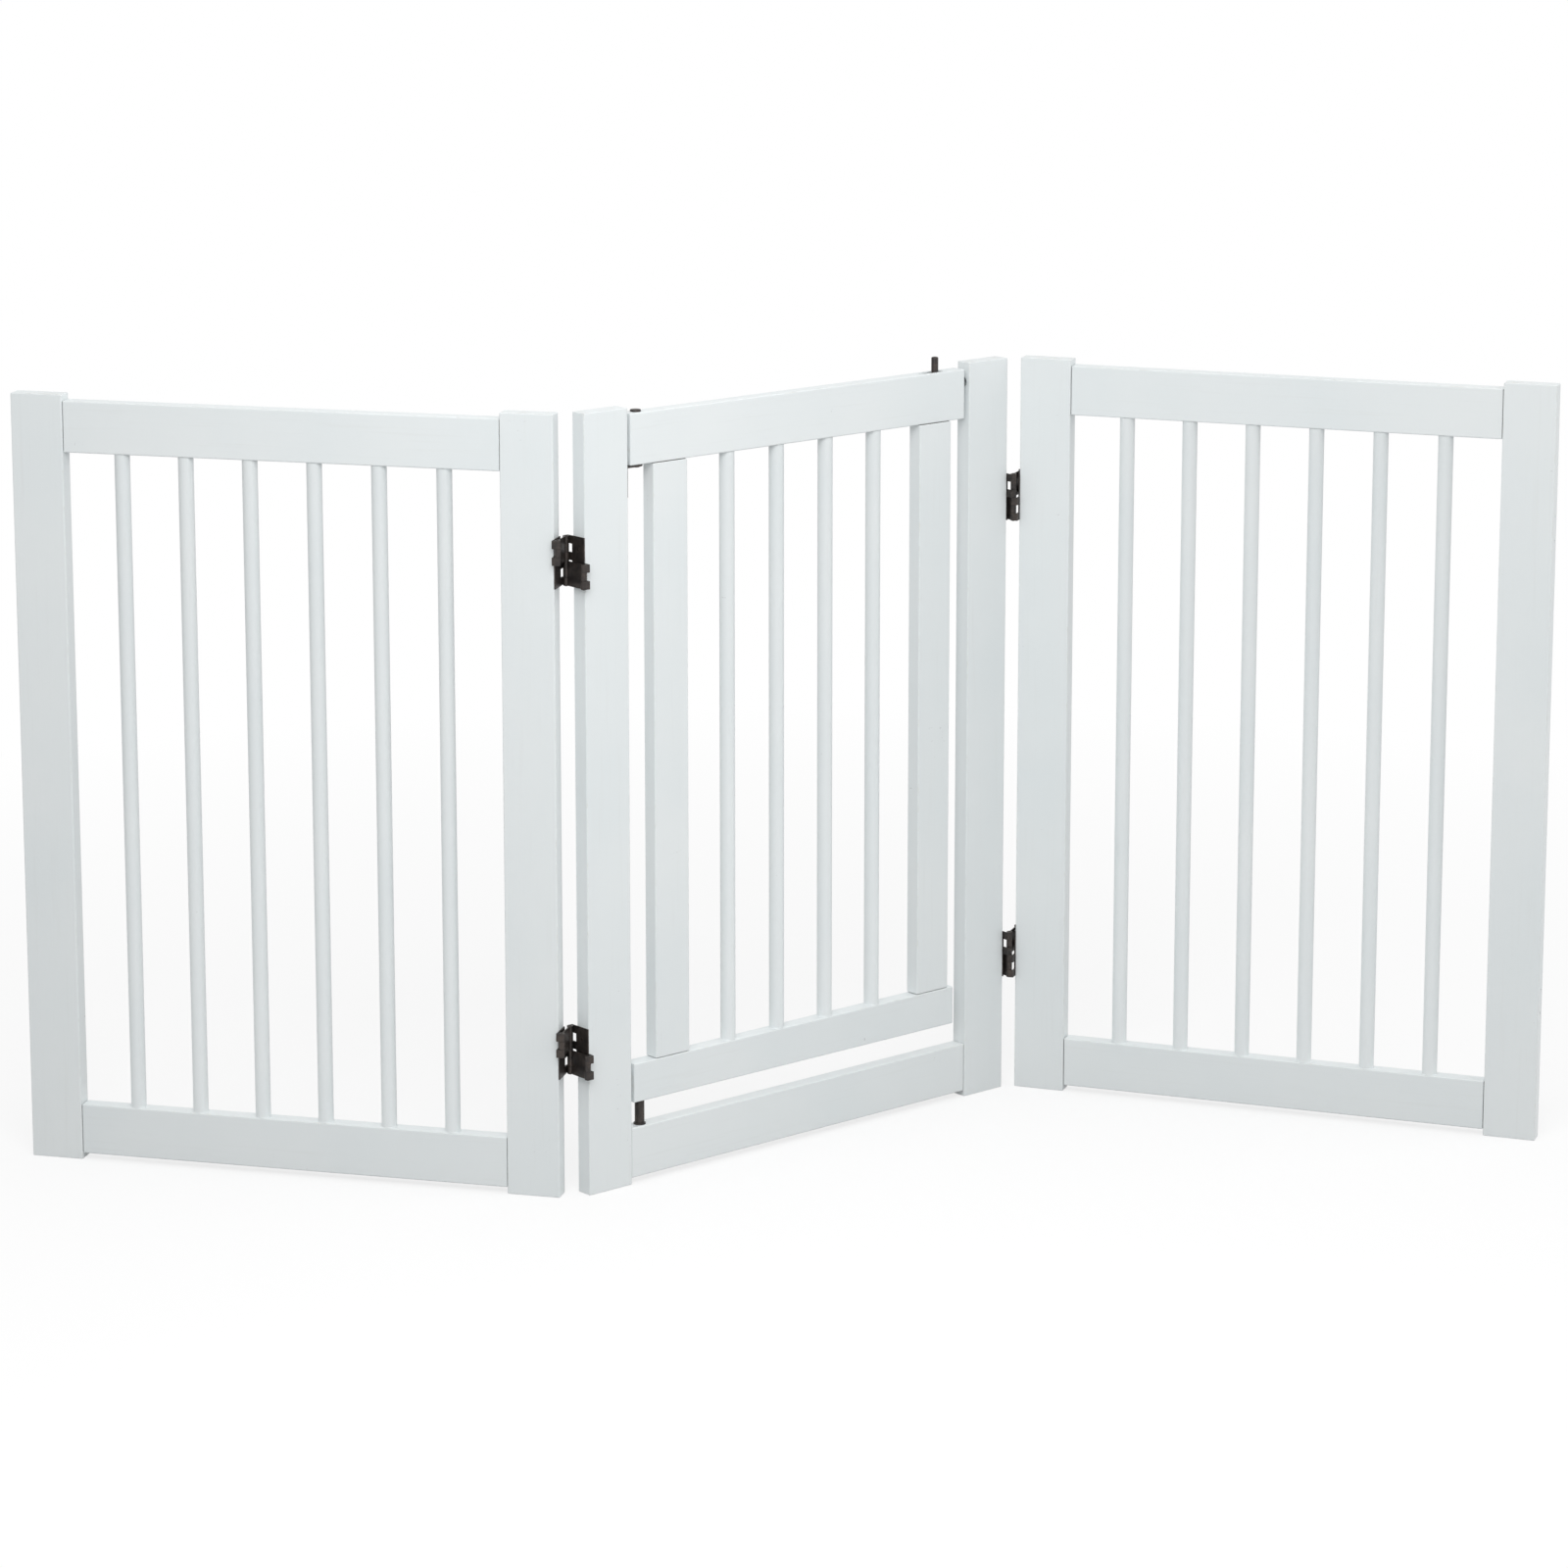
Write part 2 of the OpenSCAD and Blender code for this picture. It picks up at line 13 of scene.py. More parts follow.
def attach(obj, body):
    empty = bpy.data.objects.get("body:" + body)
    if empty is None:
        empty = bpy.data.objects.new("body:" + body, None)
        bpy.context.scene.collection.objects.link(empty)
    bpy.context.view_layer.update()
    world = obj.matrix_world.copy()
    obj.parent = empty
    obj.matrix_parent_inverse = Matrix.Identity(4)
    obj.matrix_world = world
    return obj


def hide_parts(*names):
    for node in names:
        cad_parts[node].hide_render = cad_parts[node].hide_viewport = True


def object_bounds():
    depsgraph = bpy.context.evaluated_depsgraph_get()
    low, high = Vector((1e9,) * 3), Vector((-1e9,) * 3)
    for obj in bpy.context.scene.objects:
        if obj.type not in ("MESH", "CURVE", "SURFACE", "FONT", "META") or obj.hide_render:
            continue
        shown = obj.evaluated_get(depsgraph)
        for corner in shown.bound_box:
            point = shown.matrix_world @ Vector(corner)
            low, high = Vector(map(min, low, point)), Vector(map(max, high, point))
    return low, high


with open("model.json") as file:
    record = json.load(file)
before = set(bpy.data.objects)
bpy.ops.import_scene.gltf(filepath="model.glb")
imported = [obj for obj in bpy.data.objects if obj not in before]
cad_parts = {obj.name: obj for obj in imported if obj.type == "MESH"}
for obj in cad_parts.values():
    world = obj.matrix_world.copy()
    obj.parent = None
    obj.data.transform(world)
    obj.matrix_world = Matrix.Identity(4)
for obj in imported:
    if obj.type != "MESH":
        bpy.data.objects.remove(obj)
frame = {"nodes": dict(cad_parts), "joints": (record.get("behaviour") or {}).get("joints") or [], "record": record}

bl_info = {
    "name": "Folding pet gate",
    "version": (1, 0, 0),
    "blender": (4, 5, 0),
    "location": "3D View > Sidebar > Gate",
    "description": "Builds the boards, spindles, fittings and studio of a folding pet gate",
    "category": "Add Mesh",
}

MM = 0.001
UP = Vector((0, 0, 1))

# The gate's panels, hinges and spindles.
SIDES = ("left", "right")
PANELS = ("centre", *SIDES)
HINGE_ENDS = ("top", "low")
SPINDLES_PER_SIDE = 6
SPINDLES_IN_DOOR = 4

# How finely round shapes are divided.
ROUND_STEPS = 4
TURNED_STEPS = 40
SCREW_STEPS = 32
HINGE_PIN_STEPS = 24
SOFT_SEGMENTS = 2

# Angles between faces from which an edge is drawn sharp, and from which it is softened.
SHARP_FROM = math.radians(35)
SOFTENED_FROM = math.radians(40)

# Widths of the softened edges.
BOARD_SOFTNESS = 0.3 * MM
BRACKET_SOFTNESS = 0.5 * MM
HINGE_SOFTNESS = 0.2 * MM
DOWEL_SOFTNESS = 0.3 * MM

# Corners of a kept node that are closer than this are merged.
WELD_DISTANCE = 0.01 * MM

# Raw end grain, made dark as painted shade for the seams, shows on the faces of a rail or stile that point along
# it at least this much.
END_FACING = 0.99

# How far a cutter reaches past the wood, to which a drill adds a share of its depth.
CUTTER_SPARE = 1 * MM
CUTTER_SPARE_SHARE = 0.05

# Holes, and the room that pins, bolt and knob have in them.
BORE_CLEARANCE = 0.3 * MM
KEEPER_CLEARANCE = 0.5 * MM
KEEPER_SPARE = 4 * MM
BOLT_TAIL_ROOM = 1 * MM
KNOB_CLEARANCE = 1 * MM
LOW_PIN_ROOM = 1 * MM
PILOT_DEPTH = 16 * MM

# Spindles: the tenons, and the paint that gathers where the spindle meets a rail.
TENON_SHARE = 0.66
COLLAR = 0.35 * MM
COLLAR_MIDDLE = 0.3 * MM
COLLAR_END = 1.2 * MM

# The door's pivot pins.
TOP_PIN_RADIUS = 4 * MM
TOP_PIN_HEAD_EASE = 0.7 * MM
LOW_PIN_RADIUS = 4.75 * MM
LOW_PIN_TIP_EASE = 0.8 * MM
FLANGE_HEIGHT = 1.5 * MM
FLANGE_EASE = 0.4 * MM
FOOT_EASE = 0.6 * MM

# The bolt and its knob.
BOLT_DOME = 2 * MM
BOLT_FLAT = 0.3
STEM_SHARE = 0.57
STEM_EASE = 0.3 * MM
KNOB_IN_SLOT = 9 * MM
KNOB_EASE = 1 * MM
KNOB_CROWN = 0.3 * MM
KNOB_CROWN_SHARE = 0.4

# Hinge pins.
HINGE_PIN_EASE = 0.3 * MM
HINGE_PIN_DOME = 0.6 * MM

# Screws: head height and shank radius of both kinds, then what they share.
HINGE_SCREW = (1.2 * MM, 1.6 * MM)
BRACKET_SCREW = (1 * MM, 1.4 * MM)
SCREW_RIM = 0.15 * MM
SCREW_FACE_SHARE = 0.94
SCREW_DOME_FLAT = 0.3
SCREW_TIP = 2 * MM
SCREW_TIP_SHARE = 0.3
DRIVER_DEPTH = 0.8 * MM
DRIVER_WIDTH = 0.7 * MM
DRIVER_LENGTH_SHARE = 1.15
DRIVER_EASE = 0.1 * MM

# Finishes that have no settings in the panel.
SHIFT_BETWEEN_PIECES = 40
DOWEL_PALE = (0.66, 0.47, 0.27)
DOWEL_DARK = (0.45, 0.28, 0.14)
DOWEL_GRAIN_DEPTH = 0.1 * MM
# Very dark end grain browns: partly raw wood, partly painted shade for the seams at the ends of rails and stiles.
END_GRAIN_AND_SEAM_SHADE_BROWN = (0.12, 0.085, 0.055)
END_GRAIN_AND_SEAM_SHADE_DARK = (0.05, 0.035, 0.022)
END_GRAIN_ROUGHNESS = 0.85
STEEL_METALLIC = 0.6
STEEL_PITTING = 0.04 * MM

# Lamps: name, power setting, size, and place from the doorway's middle: to the right and
# away as the camera sees it, then up.
LAMPS = (
    ("front_lamp", "front_power", 1.2, Vector((-0.15, -1.6, 1.25))),
    ("side_lamp", "side_power", 2.0, Vector((2.6, -0.4, 1.0))),
    ("top_lamp", "top_power", 2.6, Vector((0, 0.6, 2.6))),
)

# The floor, which fades into plain white between two distances from its middle.
WHITE = (1, 1, 1, 1)
FLOOR_WHITE = (0.95, 0.95, 0.95, 1)
FLOOR_GREY = (0.5, 0.5, 0.5, 1)
FLOOR_DROP = 0.2 * MM
FADE_START = 0.6
FADE_END = 2.0
LEAST_FADE = 0.72

record = frame["record"]
cad_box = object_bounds()
mounts = {mount["name"]: mount for mount in record["mounts"]}
joints = {joint["name"]: joint for joint in frame["joints"]}
body_of_node = {
    node: body
    for body, nodes in record["behaviour"]["bodies"].items()
    for node in nodes
}


# ---------- places ----------


def panel_place(point, outward):
    """A place on the floor under a point, with X along the panel and Z up."""
    x = Vector(outward).normalized()
    turn = Matrix((x, UP.cross(x), UP)).transposed().to_4x4()
    return Matrix.Translation((point[0], point[1], 0)) @ turn


def doorway_middle():
    """The point between the two hinge lines that the middle panel holds."""
    left = Vector(joints["left_reverse_fold"]["pos_m"])
    right = Vector(joints["right_reverse_fold"]["pos_m"])
    return (left + right) / 2


def side_place(side):
    """A side panel's place, at its outer edge."""
    mount = mounts[f"{side}_edge_low_holes"]
    return panel_place(mount["pos_m"], mount["axis"])


PLACES = {
    "centre": panel_place(doorway_middle(), (1, 0, 0)),
    "left": side_place("left"),
    "right": side_place("right"),
}


def points_in(place, node):
    """The corners of a node's mesh, measured in a place."""
    points = np.array([vertex.co for vertex in frame["nodes"][node].data.vertices])
    back = np.array(place.inverted())
    return points @ back[:3, :3].T + back[:3, 3]


def box_in(place, node):
    """The lowest and highest corner of a node, measured in a place."""
    points = points_in(place, node)
    return Vector(points.min(0)), Vector(points.max(0))


def boxes_in(place, node):
    """The box of each separate solid of a node, measured in a place."""
    points = points_in(place, node)
    keys = {}
    group = list(range(len(points)))

    def leader(i):
        while group[i] != i:
            i = group[i]
        return i

    for i, point in enumerate(points):
        first = keys.setdefault(tuple(np.round(point, 6)), i)
        group[leader(i)] = leader(first)
    for polygon in frame["nodes"][node].data.polygons:
        first = leader(polygon.vertices[0])
        for i in polygon.vertices[1:]:
            group[leader(i)] = first
    solids = {}
    for i in range(len(points)):
        solids.setdefault(leader(i), []).append(points[i])
    boxes = [(Vector(np.min(s, 0)), Vector(np.max(s, 0))) for s in solids.values()]
    return sorted(boxes, key=lambda box: tuple(round(c, 5) for c in box[0]))


def standing(x, y, z):
    """A place whose X points up, for pieces whose length stands."""
    turn = Matrix((UP, Vector((1, 0, 0)), Vector((0, 1, 0)))).transposed().to_4x4()
    return Matrix.Translation((x, y, z)) @ turn


def standing_in(low, high, z=0):
    """A standing place on the middle line of a box."""
    return standing((low.x + high.x) / 2, (low.y + high.y) / 2, z)


def lying(x, y, z):
    """A place whose X runs along the panel and whose Y points up."""
    turn = Matrix((Vector((1, 0, 0)), UP, Vector((0, -1, 0)))).transposed().to_4x4()
    return Matrix.Translation((x, y, z)) @ turn


# ---------- meshes ----------


def rounded_outline(width, thickness, radius):
    """Points of a rectangle with round corners: y, z, and 1 mid-corner falling to 0 at its ends."""
    corners = (
        (width / 2 - radius, thickness / 2 - radius, 0),
        (radius - width / 2, thickness / 2 - radius, 90),
        (radius - width / 2, radius - thickness / 2, 180),
        (width / 2 - radius, radius - thickness / 2, 270),
    )
    points = []
    for y, z, start in corners:
        for step in range(ROUND_STEPS + 1):
            part = step / ROUND_STEPS
            angle = math.radians(start + 90 * part)
            at = (y + radius * math.cos(angle), z + radius * math.sin(angle))
            points.append((*at, 1 - abs(2 * part - 1)))
    return points


def bridge(work, rings):
    """Joins rings of vertices with faces, and closes the first and the last."""
    for ring, following in zip(rings, rings[1:]):
        for i in range(len(ring)):
            j = (i + 1) % len(ring)
            work.faces.new((ring[i], ring[j], following[j], following[i]))
    work.faces.new(list(reversed(rings[0])))
    work.faces.new(rings[-1])


def finished_mesh(name, work):
    """Turns a bmesh into a mesh that is smooth where it is round and sharp where it isn't."""
    bmesh.ops.recalc_face_normals(work, faces=work.faces)
    mesh = bpy.data.meshes.new(name)
    work.to_mesh(mesh)
    work.free()
    mesh.shade_smooth()
    mesh.set_sharp_from_angle(angle=SHARP_FROM)
    return mesh


def board_mesh(name, length, width, thickness, edge_round, end_round):
    """A board along X with eased long edges, softly rounded ends and an "edge" value for wear."""
    work = bmesh.new()
    edge = work.verts.layers.float.new("edge")
    steps = [math.radians(90 * step / ROUND_STEPS) for step in range(ROUND_STEPS + 1)]
    insets = [end_round * (1 - math.sin(a)) for a in steps]
    depths = [end_round * (1 - math.cos(a)) for a in steps]
    stations = [(depth - length / 2, inset) for depth, inset in zip(depths, insets)]
    stations += [(-x, inset) for x, inset in reversed(stations)]
    rings = []
    for x, inset in stations:
        radius = max(edge_round - inset, edge_round / 3)
        ring = []
        for y, z, wear in rounded_outline(width - 2 * inset, thickness - 2 * inset, radius):
            vertex = work.verts.new((x, y, z))
            vertex[edge] = max(wear, inset / end_round)
            ring.append(vertex)
        rings.append(ring)
    bridge(work, rings)
    return finished_mesh(name, work)


def turned_mesh(name, profile, steps=TURNED_STEPS):
    """A round mesh along X from (distance along, radius) pairs."""
    work = bmesh.new()
    angles = [2 * math.pi * i / steps for i in range(steps)]
    rings = []
    for x, radius in profile:
        ring = [(x, radius * math.cos(a), radius * math.sin(a)) for a in angles]
        rings.append([work.verts.new(point) for point in ring])
    bridge(work, rings)
    return finished_mesh(name, work)


def domed_end(x, radius, dome, flat=0.15):
    """Profile points that close a rod at x with a dome of that height and a small flat."""
    points = []
    for step in range(ROUND_STEPS + 1):
        angle = math.radians(90 * step / ROUND_STEPS)
        across = max(radius * math.cos(angle), radius * flat)
        points.append((x - dome + dome * math.sin(angle), across))
    return points


def eased_end(x, radius, ease):
    """Profile points that close a rod at x with a small rounded edge."""
    points = []
    for step in range(ROUND_STEPS + 1):
        angle = math.radians(90 * step / ROUND_STEPS)
        points.append((x - ease + ease * math.sin(angle), radius - ease * (1 - math.cos(angle))))
    return points


def mirrored(points):
    """The same end for the start of a rod, at minus x."""
    return [(-x, radius) for x, radius in reversed(points)]


def slot_mesh(name, length, width, depth):
    """A long slot with round ends, along X, that goes down from z = depth to 0."""
    work = bmesh.new()
    outline = []
    for start, x in ((-90, length / 2 - width / 2), (90, width / 2 - length / 2)):
        for step in range(2 * ROUND_STEPS + 1):
            angle = math.radians(start + 90 * step / ROUND_STEPS)
            outline.append((x + width / 2 * math.cos(angle), width / 2 * math.sin(angle)))
    rings = [[work.verts.new((x, y, z)) for x, y in outline] for z in (0, depth)]
    bridge(work, rings)
    return finished_mesh(name, work)


def joined_mesh(name, copies):
    """One mesh from (mesh, matrix) pairs."""
    work = bmesh.new()
    for mesh, matrix in copies:
        first = len(work.verts)
        work.from_mesh(mesh)
        work.verts.ensure_lookup_table()
        bmesh.ops.transform(work, matrix=matrix, verts=work.verts[first:])
    return finished_mesh(name, work)


# ---------- pieces ----------


def add_object(name, mesh, place):
    """A mesh object that stands in a place."""
    piece = bpy.data.objects.new(name, mesh)
    bpy.context.scene.collection.objects.link(piece)
    piece.matrix_world = place
    bpy.context.view_layer.update()
    return piece


def cut(piece, cutter):
    """Takes the cutter's shape out of the piece, and removes the cutter."""
    removal = piece.modifiers.new("cut", "BOOLEAN")
    removal.object = cutter
    removal.operation = "DIFFERENCE"
    removal.solver = "EXACT"
    graph = bpy.context.evaluated_depsgraph_get()
    shape = bpy.data.meshes.new_from_object(piece.evaluated_get(graph))
    if not shape.polygons:
        raise RuntimeError(f"the cut left nothing of {piece.name}")
    piece.modifiers.clear()
    shape.name = piece.data.name
    piece.data = shape
    shape.set_sharp_from_angle(angle=SHARP_FROM)
    bpy.data.objects.remove(cutter)


def drill(piece, place, radius, depth):
    """Drills a hole along the X of a place, starting a little before it."""
    start = depth * CUTTER_SPARE_SHARE + CUTTER_SPARE
    profile = [(-start, radius), (depth, radius)]
    cut(piece, add_object("drill", turned_mesh("drill", profile), place))


def settle(piece, material, node, raw_shaded_ends=False):
    """Gives a piece its materials and body, and lets it stand for its node."""
    piece.data.materials.clear()
    piece.data.materials.append(material)
    if raw_shaded_ends:
        # End faces take the dark end grain, which is painted shade for the seams.
        piece.data.materials.append(end_grain_and_seam_shade_material())
        for polygon in piece.data.polygons:
            polygon.material_index = int(abs(polygon.normal.x) > END_FACING)
    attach(piece, body_of_node[node])
    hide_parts(node)


def soften(piece, width):
    """Rounds a piece's sharp edges and keeps its flat faces evenly lit."""
    bevel = piece.modifiers.new("soft_edges", "BEVEL")
    bevel.width = width
    bevel.segments = SOFT_SEGMENTS
    bevel.limit_method = "ANGLE"
    bevel.angle_limit = SOFTENED_FROM
    normals = piece.modifiers.new("even_normals", "WEIGHTED_NORMAL")
    normals.keep_sharp = True


def board(panel, node, upright, seam=0):
    """A board with its length along its own X, made to a node's size less a seam at each end."""
    boards = bpy.context.scene.gate_boards
    place = PLACES[panel]
    low, high = box_in(place, node)
    size = high - low
    middle = (low + high) / 2
    if upright:
        length, width = size.z, size.x
        own = standing(*middle)
    else:
        length, width = size.x, size.z
        own = lying(*middle)
    name = f"{node}_board"
    length -= 2 * seam
    mesh = board_mesh(name, length, width, size.y, boards.edge_round, boards.end_round)
    return add_object(name, mesh, place @ own)


def painted(piece, node, raw_shaded_ends=False):
    """Paints a board and softens its edges."""
    settle(piece, paint_material(), node, raw_shaded_ends)
    soften(piece, BOARD_SOFTNESS)


def turned_piece(name, profile, place, material, node):
    """A round piece along the X of a place, which stands for a node."""
    settle(add_object(name, turned_mesh(name, profile), place), material, node)


def finish_node(node, material, softness):
    """Keeps a node as it is, with merged corners, softened edges and a material."""
    piece = frame["nodes"][node]
    piece.data.materials.clear()
    piece.data.materials.append(material)
    weld = piece.modifiers.new("merged_corners", "WELD")
    weld.merge_threshold = WELD_DISTANCE
    soften(piece, softness)


# ---------- material nodes ----------


def new_material(name):
    """A material with its node tree and its shader."""
    material = bpy.data.materials.new(name)
    material.use_nodes = True
    return material, material.node_tree, material.node_tree.nodes["Principled BSDF"]


def feed(tree, socket, value):
    """Links another node's output to an input, or sets the input to a plain value."""
    if isinstance(value, bpy.types.NodeSocket):
        tree.links.new(value, socket)
    else:
        socket.default_value = value


def add_node(tree, kind, **inputs):
    """A node with some of its inputs set or linked."""
    node = tree.nodes.new(kind)
    for name, value in inputs.items():
        feed(tree, node.inputs[name.replace("_", " ")], value)
    return node


def piece_space(tree):
    """A piece's own coordinates, and a shift in its noise that no other piece has."""
    where = tree.nodes.new("ShaderNodeTexCoord").outputs["Object"]
    chance = tree.nodes.new("ShaderNodeObjectInfo").outputs["Random"]
    return where, product(tree, chance, SHIFT_BETWEEN_PIECES)


def noise(tree, where, shift, scale, detail, roughness=0.5):
    """Noise between 0 and 1 that differs from piece to piece through the shift."""
    node = tree.nodes.new("ShaderNodeTexNoise")
    node.noise_dimensions = "4D"
    feed(tree, node.inputs["Vector"], where)
    feed(tree, node.inputs["W"], shift)
    feed(tree, node.inputs["Scale"], scale)
    feed(tree, node.inputs["Detail"], detail)
    feed(tree, node.inputs["Roughness"], roughness)
    return node.outputs["Fac"]


def stretched(tree, where, x=1, y=1, z=1):
    """Coordinates in which noise is drawn out along each axis that has less than 1."""
    node = add_node(tree, "ShaderNodeMapping", Vector=where, Scale=(x, y, z))
    return node.outputs["Vector"]


def steps_between(tree, value, low, high, to_low=0.0, to_high=1.0):
    """Stretches the part of a value from low to high over a new range, and holds it there."""
    node = add_node(tree, "ShaderNodeMapRange", Value=value, From_Min=low, From_Max=high)
    feed(tree, node.inputs["To Min"], to_low)
    feed(tree, node.inputs["To Max"], to_high)
    return node.outputs["Result"]


def reckoned(tree, operation, first, second):
    """The result of a Math node on two values."""
    node = tree.nodes.new("ShaderNodeMath")
    node.operation = operation
    feed(tree, node.inputs[0], first)
    feed(tree, node.inputs[1], second)
    return node.outputs["Value"]


def product(tree, first, second):
    """One value times another."""
    return reckoned(tree, "MULTIPLY", first, second)


def blend(tree, amount, first, second):
    """A colour between two others."""
    node = tree.nodes.new("ShaderNodeMix")
    node.data_type = "RGBA"
    tree.links.new(amount, node.inputs["Factor"])
    for name, colour in (("A_Color", first), ("B_Color", second)):
        socket = next(s for s in node.inputs if s.identifier == name)
        is_linked = isinstance(colour, bpy.types.NodeSocket)
        feed(tree, socket, colour if is_linked else (*colour, 1))
    return next(s for s in node.outputs if s.identifier == "Result_Color")


def mixed(tree, amount, first, second):
    """A surface between two others."""
    node = tree.nodes.new("ShaderNodeMixShader")
    for socket, value in zip(node.inputs, (amount, first, second)):
        tree.links.new(value, socket)
    return node.outputs["Shader"]


def raised(tree, height, distance, strength, under=None):
    """A bump of that height in metres, laid over another one."""
    node = add_node(tree, "ShaderNodeBump", Height=height, Strength=strength, Distance=distance)
    if under is not None:
        tree.links.new(under, node.inputs["Normal"])
    return node.outputs["Normal"]


def seen_rays(tree):
    """1 for what the camera sees, also in gloss or through glass, and 0 for light on the gate."""
    path = tree.nodes.new("ShaderNodeLightPath")
    seen = path.outputs["Is Camera Ray"]
    for name in ("Is Glossy Ray", "Is Transmission Ray"):
        seen = reckoned(tree, "MAXIMUM", seen, path.outputs[name])
    return seen


# ---------- materials ----------


def painted_wood():
    """Cool white satin paint on softwood: faint grain along it, thin edges and small scuffs."""
    paint = bpy.context.scene.gate_paint
    material, tree, shader = new_material("white_painted_wood")
    where, shift = piece_space(tree)
    along = stretched(tree, where, x=0.035)
    stroke = stretched(tree, where, x=0.02)
    across = stretched(tree, where, y=0.45, z=0.45)
    grain = noise(tree, along, shift, scale=260, detail=5, roughness=0.6)
    brush = noise(tree, stroke, shift, scale=900, detail=2)
    cloud = noise(tree, where, shift, scale=7, detail=3)
    peel = noise(tree, where, shift, scale=750, detail=2)
    rub = noise(tree, where, shift, scale=90, detail=4, roughness=0.65)
    patch = noise(tree, where, shift, scale=16, detail=1)
    scratch = noise(tree, across, shift, scale=420, detail=3, roughness=0.7)

    tone = steps_between(tree, cloud, low=0.35, high=0.7)
    colour = blend(tree, tone, paint.colour, paint.shade)
    lines = steps_between(tree, grain, low=0.56, high=0.8)
    colour = blend(tree, product(tree, lines, paint.grain_tint), colour, paint.grain_colour)

    edge = tree.nodes.new("ShaderNodeAttribute")
    edge.attribute_name = "edge"
    thin = steps_between(tree, rub, low=0.5, high=0.72)
    rubbed = product(tree, product(tree, edge.outputs["Fac"], thin), paint.edge_wear)
    colour = blend(tree, rubbed, colour, paint.wear_colour)

    patches = steps_between(tree, patch, low=0.66, high=0.7)
    scratches = steps_between(tree, scratch, low=0.66, high=0.7)
    scuffs = product(tree, product(tree, patches, scratches), paint.scuffs)
    colour = blend(tree, scuffs, colour, paint.scuff_colour)
    tree.links.new(colour, shader.inputs["Base Color"])

    smoothest = paint.roughness - 0.06
    roughest = paint.roughness + 0.08
    rough = steps_between(tree, grain, low=0.3, high=0.75, to_low=smoothest, to_high=roughest)
    tree.links.new(rough, shader.inputs["Roughness"])
    normal = raised(tree, grain, paint.grain_depth, strength=0.6)
    normal = raised(tree, brush, paint.grain_depth / 2, strength=0.35, under=normal)
    normal = raised(tree, peel, paint.grain_depth / 2, strength=0.3, under=normal)
    tree.links.new(normal, shader.inputs["Normal"])
    return material


def bare_wood():
    """Unpainted dowel rod."""
    material, tree, shader = new_material("bare_dowel_wood")
    where, shift = piece_space(tree)
    along = stretched(tree, where, z=0.2)
    grain = noise(tree, along, shift, scale=420, detail=5, roughness=0.6)
    pores = noise(tree, where, shift, scale=1900, detail=2)
    tone = steps_between(tree, grain, low=0.35, high=0.65)
    tree.links.new(blend(tree, tone, DOWEL_PALE, DOWEL_DARK), shader.inputs["Base Color"])
    rough = steps_between(tree, pores, low=0.3, high=0.7, to_low=0.55, to_high=0.8)
    tree.links.new(rough, shader.inputs["Roughness"])
    normal = raised(tree, grain, DOWEL_GRAIN_DEPTH, strength=0.5)
    tree.links.new(normal, shader.inputs["Normal"])
    return material


def end_grain_and_seam_shade():
    """Raw end grain inside the joints, made very dark as painted shade for the seams."""
    material, tree, shader = new_material("raw_end_grain")
    where, shift = piece_space(tree)
    space = stretched(tree, where, x=0.1, z=0.3)
    rings = noise(tree, space, shift, scale=700, detail=4, roughness=0.6)
    tone = steps_between(tree, rings, low=0.35, high=0.65)
    # Both browns are darker than raw wood: painted seam shade.
    colour = blend(tree, tone, END_GRAIN_AND_SEAM_SHADE_BROWN, END_GRAIN_AND_SEAM_SHADE_DARK)
    tree.links.new(colour, shader.inputs["Base Color"])
    shader.inputs["Roughness"].default_value = END_GRAIN_ROUGHNESS
    return material


def blackened_steel():
    """Black, slightly brown finish on steel, rubbed thin in places."""
    metal = bpy.context.scene.gate_metal
    material, tree, shader = new_material("blackened_steel")
    where, shift = piece_space(tree)
    cloud = noise(tree, where, shift, scale=130, detail=4, roughness=0.6)
    speck = noise(tree, where, shift, scale=1500, detail=3, roughness=0.7)
    fine = noise(tree, where, shift, scale=2600, detail=2)
    tone = steps_between(tree, cloud, low=0.4, high=0.7)
    colour = blend(tree, tone, metal.colour, metal.brown)
    rubbed = product(tree, steps_between(tree, speck, low=0.6, high=0.75), metal.wear)
    colour = blend(tree, rubbed, colour, metal.bare_colour)
    tree.links.new(colour, shader.inputs["Base Color"])
    shader.inputs["Metallic"].default_value = STEEL_METALLIC
    smoothest = metal.roughness - 0.1
    roughest = metal.roughness + 0.1
    rough = steps_between(tree, cloud, low=0.3, high=0.7, to_low=smoothest, to_high=roughest)
    tree.links.new(rough, shader.inputs["Roughness"])
    tree.links.new(raised(tree, fine, STEEL_PITTING, strength=0.5), shader.inputs["Normal"])
    return material


def material_for(name, maker):
    """The material of that name, made the first time that it is asked for."""
    return bpy.data.materials.get(name) or maker()


def paint_material():
    return material_for("white_painted_wood", painted_wood)


def steel_material():
    return material_for("blackened_steel", blackened_steel)


def end_grain_and_seam_shade_material():
    return material_for("raw_end_grain", end_grain_and_seam_shade)


def dowel_material():
    return material_for("bare_dowel_wood", bare_wood)


# ---------- what a user would change ----------


class GateBoards(bpy.types.PropertyGroup):
    """Shape of the painted boards"""

    edge_round: FloatProperty(
        name="Edge radius",
        description="Radius along the long edges of the boards",
        default=1.3 * MM,
        min=0.3 * MM,
        max=4 * MM,
        precision=4,
        unit="LENGTH",
    )
    end_round: FloatProperty(
        name="End radius",
        description="Radius round the ends of the boards",
        default=0.8 * MM,
        min=0.2 * MM,
        max=3 * MM,
        precision=4,
        unit="LENGTH",
    )
    seam: FloatProperty(
        name="Seam",
        description="Open joint between the end of a rail or stile and the board that it meets",
        default=0.55 * MM,
        min=0,
        max=1 * MM,
        precision=4,
        unit="LENGTH",
    )


